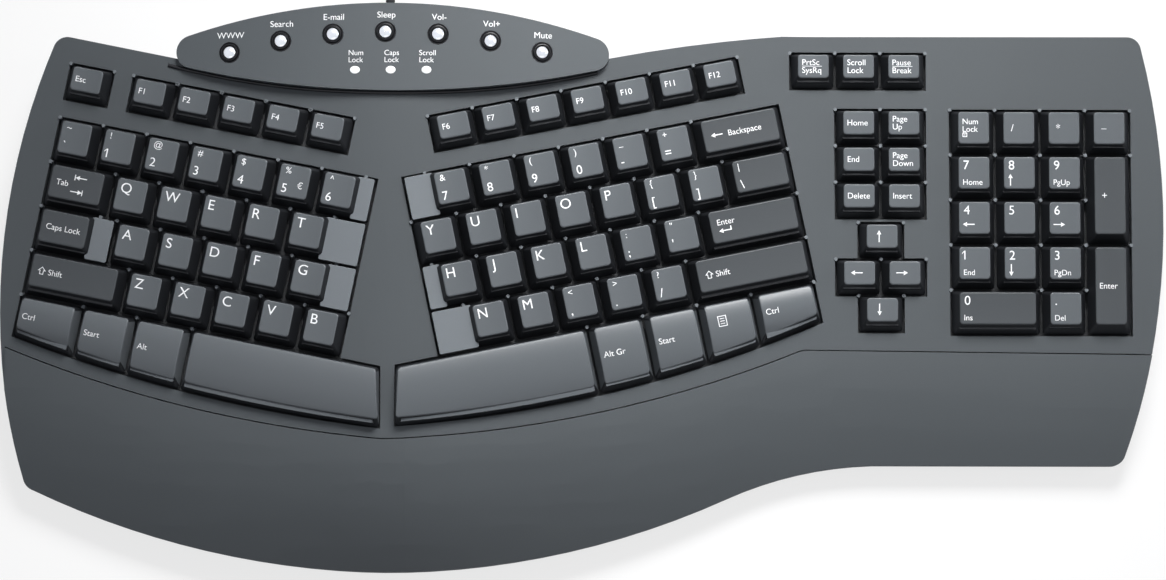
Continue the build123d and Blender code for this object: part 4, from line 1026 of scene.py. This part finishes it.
class MakeStage(bpy.types.Operator):
    """Make the pale floor, the studio lamps and the camera at the photograph's angle"""

    bl_idname = "keyboard.make_stage"
    bl_label = "Stage"

    def execute(self, context):
        floor = bmesh.new()
        bmesh.ops.create_grid(floor, x_segments=2, y_segments=2, size=FLOOR_HALF)
        mesh = bpy.data.meshes.new("studio_floor")
        floor.to_mesh(mesh)
        floor.free()
        mesh.materials.append(floor_finish(context.scene.keyboard.floor_colour))
        linked("studio_floor", mesh)
        for lamp in LAMPS:
            self.add_lamp(*lamp)
        self.add_world(context)
        self.add_camera(context)
        context.scene.view_settings.view_transform = "Standard"
        return {"FINISHED"}

    def add_world(self, context):
        world = bpy.data.worlds.new("studio")
        context.scene.world = world
        world.use_nodes = True
        nodes, links = world.node_tree.nodes, world.node_tree.links
        back = nodes["Background"]
        back.inputs["Color"].default_value = WORLD_COLOUR
        path = nodes.new("ShaderNodeLightPath")
        seen = nodes.new("ShaderNodeMath")
        strength = nodes.new("ShaderNodeMapRange")
        links.new(path.outputs["Is Camera Ray"], seen.inputs[0])
        links.new(path.outputs["Is Glossy Ray"], seen.inputs[1])
        links.new(seen.outputs[0], strength.inputs["Value"])
        strength.inputs["To Min"].default_value = WORLD_LIGHT
        strength.inputs["To Max"].default_value = WORLD_SEEN
        links.new(strength.outputs[0], back.inputs["Strength"])

    def add_lamp(self, name, place, target, power, size, spread):
        lamp = bpy.data.lights.new(name, "AREA")
        lamp.spread = radians(spread)
        lamp.shape, lamp.size, lamp.size_y, lamp.energy = "RECTANGLE", *size, power
        made = linked(name, lamp)
        made.location = place
        made.rotation_euler = (Vector(target) - Vector(place)).to_track_quat("-Z", "Y").to_euler()

    def add_camera(self, context):
        lens = bpy.data.cameras.new("camera")
        lens.sensor_width = SENSOR_WIDTH
        lens.lens = LENS
        camera = linked("camera", lens)
        back = Vector((0, -cos(CAMERA_RISE), sin(CAMERA_RISE)))
        camera.location = Vector(CAMERA_TARGET) + back * CAMERA_DISTANCE
        camera.rotation_euler = (pi / 2 - CAMERA_RISE, 0, 0)
        context.scene.camera = camera


def hank_points():
    """Control points of the hank: runs drawn in a little at the tie, and folds of five points each."""
    x, y = HANK_PLACE
    points = []
    for run in range(2 * HANK_LAYERS + 1):
        layer, second = divmod(run, 2)
        way = 1 if run % 2 == 0 else -1
        wide, wide_next = hank_width(run), hank_width(run + 1)
        high = HANK_FLOOR + HANK_LAYER * min(layer, HANK_LAYERS - 1)
        climb = HANK_LAYER if not second and 0 < layer < HANK_LAYERS else 0
        for share in (-0.25, 0, 0.25):
            drawn = wide - HANK_DRAW * (1 - 2 * abs(share))
            points.append((x + way * HANK_RUN * share, y - way * drawn, high - climb * (0.5 - share)))
        if run < 2 * HANK_LAYERS:
            radius, shift = (wide + wide_next) / 2 / FOLD_SHARE, (wide_next - wide) / 2
            for angle in FOLD_ANGLES:
                across = HANK_RUN / 2 + radius * cos(radians(angle))
                points.append((x + way * across, y + way * (shift + radius * sin(radians(angle))), high))
    return points + [(along, y - HANK_OUTER, height) for along, height in LANDING]


def hank_width(run):
    """Distance of one of the hank's runs from its middle line."""
    layer, second = divmod(run, 2)
    return HANK_OUTER - HANK_STEP * (second if layer % 2 == 0 else 2 - second)


class MakeLead(bpy.types.Operator):
    """Make the lead as one smooth cable, with its tapered sleeve, its hank's tie and its plug"""

    bl_idname = "keyboard.make_lead"
    bl_label = "Lead, hank and plug"

    def execute(self, context):
        sleeve, tie, plug = self.add_sleeve(), self.add_tie(), self.add_plug()
        curve = tube("lead", "NURBS", LEAD_ROUTE + hank_points(), LEAD_WIDTH / 2, 3, "cord")
        spline = curve.splines[0]
        spline.order_u = 3
        spline.use_endpoint_u = True
        spline.resolution_u = 8
        curve.use_fill_caps = True
        lead = linked("lead", curve)
        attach(lead, "case")
        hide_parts("usb_cable", "cable_hank")
        return {"FINISHED"}

    def add_sleeve(self):
        profile = list(SLEEVE_FOOT)
        for ring in range(SLEEVE_RINGS):
            profile += [(r - SLEEVE_TAPER * ring, z + SLEEVE_SPACING * ring) for r, z in SLEEVE_RING]
        sleeve = turned(profile + SLEEVE_END, 32)
        place = Matrix.Translation(LEAD_ROUTE[0]) @ Matrix.Rotation(-pi / 2, 4, "X")
        sleeve.transform(Matrix.Scale(MM, 4) @ place)
        return piece("lead_sleeve", sleeve, ["cord"], "case", ["strain_relief"])

    def add_tie(self):
        half = HANK_OUTER - HANK_DRAW + LEAD_WIDTH / 2 + 0.25
        top = HANK_FLOOR + HANK_LAYER * (HANK_LAYERS - 1) + LEAD_WIDTH / 2 + 0.2
        strap = bmesh.new()
        for width, grow in ((TIE_WIDTH, 0.0), (TIE_WIDTH * 0.86, TIE_THICKNESS)):
            band = bmesh.new()
            bmesh.ops.create_cube(band, size=1)
            open_sides = [f for f in band.faces if abs(f.normal.x) > 0.5]
            if grow:
                open_sides += [f for f in band.faces if f.normal.z < -0.5 or f.normal.y > 0.5]
            bmesh.ops.delete(band, geom=open_sides, context="FACES_ONLY")
            for v in band.verts:
                height = TIE_LOW + (top + grow - TIE_LOW) * (v.co.z + 0.5)
                v.co = (v.co.x * width, v.co.y * 2 * (half + grow), height)
            folds = [e for e in band.edges if len(e.link_faces) == 2]
            along = [e for e in folds if abs(e.verts[0].co.x - e.verts[1].co.x) > 1]
            round_edges(band, along, TIE_ROUND, 6)
            bmesh.ops.solidify(band, geom=band.faces[:], thickness=-TIE_THICKNESS)
            add_mesh(strap, band)
        bmesh.ops.recalc_face_normals(strap, faces=strap.faces)
        strap.transform(Matrix.Scale(MM, 4) @ Matrix.Translation((*HANK_PLACE, 0)))
        return piece("hank_tie", strap, ["tie"], "case", ["cable_tie"])

    def add_plug(self):
        length, width, height = PLUG_SIZE
        plug = bmesh.new()
        bmesh.ops.create_cube(plug, size=1)
        for share in (-0.42, -0.3):
            slice_all(plug, (share, 0, 0), (1, 0, 0))
        for v in plug.verts:
            taper = 0.5 if v.co.x < -0.45 else 0.78 if v.co.x < -0.35 else 1
            v.co = ((v.co.x + 0.5) * length, v.co.y * width * taper, v.co.z * height * taper)
        plug.normal_update()
        round_edges(plug, [e for e in plug.edges if e.calc_face_angle(0) > radians(30)], 1.3, 4)
        for number in range(GROOVES):
            groove = bmesh.new()
            place = Matrix.Translation((GROOVE_START + GROOVE_SPACING * number, 0, 0))
            size = Matrix.Diagonal((0.9, width * 0.62, height - 0.02, 1))
            bmesh.ops.create_cube(groove, size=1, matrix=place @ size)
            groove.normal_update()
            round_edges(groove, groove.edges[:], 0.3, 2)
            add_mesh(plug, groove)
        plug.transform(Matrix.Scale(MM, 4) @ Matrix.Translation(PLUG_PLACE))
        return weighted(piece("plug_body", plug, ["plug"], "case", ["usb_plug_body"]))


class MakeKeycaps(bpy.types.Operator):
    """Make the keycaps of every block, with rounded corners, dished letter keys and crowned bottom rows"""

    bl_idname = "keyboard.make_keycaps"
    bl_label = "Keycaps and legends"

    def execute(self, context):
        settings = context.scene.keyboard
        for side, matrix, nodes, arc, hand in BLOCKS:
            glint_posts = bmesh.new()
            for node, (row, legends, steps) in nodes.items():
                front = island = None
                if node in BOTTOM_ROW:
                    front, island = front_line(arc), island_line(matrix, hand)
                caps, prints = bmesh.new(), bmesh.new()
                for number, cell in enumerate(row):
                    made, surface, corners = cap(cell, steps.get(number, (0, 0)), settings, front, island)
                    add_mesh(caps, made)
                    for legend in legends[number]:
                        print_legend(prints, legend, corners, surface, settings.print_lift / MM)
                caps.transform(matrix)
                if "space" not in node:
                    for left, back, width, depth in row:
                        for x in (left, left + width):
                            add_mesh(glint_posts, corner_glint_post(), matrix @ Matrix.Translation((x, back, 0)))
                made = piece(node + "_caps", caps, KEY_MATERIALS, node, [node], soft_edge=50)
                weighted(made)
                if prints.verts:
                    prints.transform(matrix)
                    piece(node + "_legends", prints, ["print"], node)
            # Painted highlight: lighter corner posts stand in for the light spots between key corners
            piece(side + "_corner_pips", glint_posts, ["step"], "case")
        return {"FINISHED"}


class MakeHotKeys(bpy.types.Operator):
    """Make the round hot keys, their dark rings and the words on the panel"""

    bl_idname = "keyboard.make_hot_keys"
    bl_label = "Hot keys"

    def execute(self, context):
        lift = context.scene.keyboard.print_lift / MM
        rings, prints, lenses = bmesh.new(), bmesh.new(), bmesh.new()
        for number, name in enumerate(HOT_KEYS):
            matrix, (x, y) = button_frame(number)
            button = turned(BUTTON_PROFILE)
            for face in button.faces:
                centre = face.calc_center_median()
                on_dome = centre.z > DOME_FOOT and hypot(centre.x, centre.y) < DOME_RADIUS
                face.material_index = 0 if on_dome else 1
            button.transform(matrix)
            node = name + "_button"
            piece(node + "_dome", button, ["button", "ring"], node, [node])
            ring = turned(RING_PROFILE)
            ring.transform(matrix)
            add_mesh(rings, ring)
            self.print_centred(prints, HOT_WORDS[number], HOT_WORD_HEIGHT, (x, y), HOT_WORD_SHIFT, lift)
        for number, text in enumerate(WINDOW_WORDS):
            x, y = WINDOW_X + (number - 1) * WINDOW_SPACING, WINDOW_Y
            self.print_centred(prints, text, WINDOW_WORD_HEIGHT, (x, y), WINDOW_WORD_SHIFT, lift)
            lens = turned(LENS_PROFILE, 32)
            lens.transform(Matrix.Diagonal(LENS_STRETCH))
            lens.transform(Matrix.Translation((x, y, panel_surface(x, y))))
            add_mesh(lenses, lens)
        piece("hot_key_rings", rings, ["ring"], "case")
        lenses.transform(Matrix.Scale(MM, 4))
        piece("indicator_lenses", lenses, ["window"], "case", ["indicator_windows"])
        prints.transform(Matrix.Scale(MM, 4))
        piece("panel_words", prints, ["print"], "case")
        return {"FINISHED"}

    def print_centred(self, bm, text, height, middle, shift, lift):
        glyphs = flat_text(text, height / CAPITAL_SHARE)
        width = max(v.co.x for v in glyphs.verts)
        place = (middle[0] + shift[0] - width / 2, middle[1] + shift[1])
        drape(glyphs, place, panel_surface, lift)
        add_mesh(bm, glyphs)


class FinishFrame(bpy.types.Operator):
    """Give the shells and inner parts of the frame their plastics, rubbers and metals"""

    bl_idname = "keyboard.finish_frame"
    bl_label = "Finishes"

    def execute(self, context):
        for finish, nodes in {
            "case": ["top_cover", "palm_rest", "hot_key_panel"],
            "base": ["bottom_case", "left_folding_foot", "right_folding_foot"],
            "deck": ["key_decks"],
            "dome": ["rubber_dome_sheets"],
            "film": ["contact_sheets"],
            "board": ["circuit_boards"],
            "window": ["indicator_windows"],
            "pad": ["rubber_pads"],
            "screw": ["case_screws"],
            "cord": ["strain_relief", "usb_cable", "cable_hank"],
            "tie": ["cable_tie"],
            "plug": ["usb_plug_body"],
            "plug_steel": ["usb_plug_shell"],
        }.items():
            for node in nodes:
                paint_node(node, finish)
        return {"FINISHED"}


class MakeShells(bpy.types.Operator):
    """Make the cover, palm rest, panel and tray with softly rounded edges, and a dark line under the panel as
    painted shadow
    """

    bl_idname = "keyboard.make_shells"
    bl_label = "Shells"

    def execute(self, context):
        edge = context.scene.keyboard.case_edge
        for node, name, finish, slot, share, skin in (
            ("top_cover", "deck_shell", "case", "cover_plastic", 1.0, (deck_surface, 0.1, 0.4 * MM)),
            ("palm_rest", "palm_shell", "case", "rest_plastic", 1.0, (rest_surface, 4.0, 30 * MM)),
            ("hot_key_panel", "panel_shell", "panel", "panel_plastic", 1.2, (panel_surface, 0.1, 0.3 * MM)),
            ("bottom_case", "tray_shell", "base", "base_plastic", 0.7, None),
        ):
            self.add_shell(node, name, finish, slot, edge * share, skin)
        self.add_panel_shadow_line()
        return {"FINISHED"}

    def add_shell(self, node, name, finish, slot, radius, skin):
        bm = bmesh.new()
        bm.from_mesh(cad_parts[node].data)
        bmesh.ops.remove_doubles(bm, verts=bm.verts, dist=1e-6)
        bmesh.ops.dissolve_limit(bm, angle_limit=radians(0.1), verts=bm.verts[:], edges=bm.edges[:])
        bm.normal_update()
        if skin:
            self.smooth_top(bm, *skin)
        rims = []
        for edge in bm.edges:
            if len(edge.link_faces) == 2 and edge.is_convex and edge.calc_face_angle(0) > radians(38):
                low, high = sorted(face.normal.z for face in edge.link_faces)
                if high > 0.8 and low < 0.6 and min(v.co.z for v in edge.verts) > 0.009:
                    rims.append(edge)
                elif low < -0.95 and max(v.co.z for v in edge.verts) < 0.002:
                    rims.append(edge)
        round_edges(bm, rims, radius, 3)
        weighted(piece(name, bm, [finish], "case", [node], soft_edge=32))

    def skin(self, bm):
        """Upper faces of a shell."""
        return [f for f in bm.faces if f.normal.z > 0.8 and f.calc_center_median().z > SKIN_LOW]

    def smooth_top(self, bm, surface, merge, reach):
        """Cut the upper faces in a grid and set it on the surface the CAD piece was cut from."""
        edges = {e for f in self.skin(bm) for e in f.edges}
        inner = [e for e in edges if all(f.normal.z > 0.8 for f in e.link_faces)]
        bmesh.ops.dissolve_limit(bm, angle_limit=radians(merge), verts=[], edges=inner)
        for axis, count in ((Vector((1, 0, 0)), 30), (Vector((0, 1, 0)), 15)):
            for step in range(-count, count + 1):
                skin = self.skin(bm)
                around = {e for f in skin for e in f.edges} | {v for f in skin for v in f.verts}
                bmesh.ops.bisect_plane(
                    bm, geom=skin + list(around), plane_co=axis * step * TOP_GRID, plane_no=axis, dist=1e-6)
        for v in {v for f in self.skin(bm) for v in f.verts}:
            height = surface(v.co.x / MM, v.co.y / MM) * MM
            if abs(v.co.z - height) < reach:
                v.co.z = height
        bm.normal_update()

    def add_panel_shadow_line(self):
        # Painted shadow: a black tube along the panel's front edge
        x0, y0, radius = LINE_ARC
        places = []
        for number in range(LINE_STEPS + 1):
            x = LINE_START + LINE_LENGTH * number / LINE_STEPS
            y = y0 - sqrt(radius**2 - (x - x0) ** 2) - LINE_SHIFT
            places.append((x, y, deck_surface(x, y) + LINE_LIFT))
        line = linked("panel_painted_shadow", tube("panel_painted_shadow", "POLY", places, LINE_RADIUS, 2, "ring"))
        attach(line, "case")


class KeyboardPanel(bpy.types.Panel):
    """Lists the keyboard's pieces and settings"""

    bl_idname = "VIEW3D_PT_keyboard"
    bl_label = "Keyboard"
    bl_space_type = "VIEW_3D"
    bl_region_type = "UI"
    bl_category = "Keyboard"

    def draw(self, context):
        for operator in OPERATORS:
            self.layout.operator(operator.bl_idname)
        for name in KeyboardSettings.__annotations__:
            self.layout.prop(context.scene.keyboard, name)


OPERATORS = [MakeStage, MakeLead, FinishFrame, MakeShells, MakeKeycaps, MakeHotKeys]
CLASSES = [KeyboardSettings, *OPERATORS, KeyboardPanel]


def register():
    for cls in CLASSES:
        bpy.utils.register_class(cls)
    bpy.types.Scene.keyboard = bpy.props.PointerProperty(type=KeyboardSettings)


def unregister():
    del bpy.types.Scene.keyboard
    for cls in reversed(CLASSES):
        bpy.utils.unregister_class(cls)


def main():
    register()
    for operator in OPERATORS:
        group, name = operator.bl_idname.split(".")
        getattr(getattr(bpy.ops, group), name)()


if __name__ == "__main__":
    main()
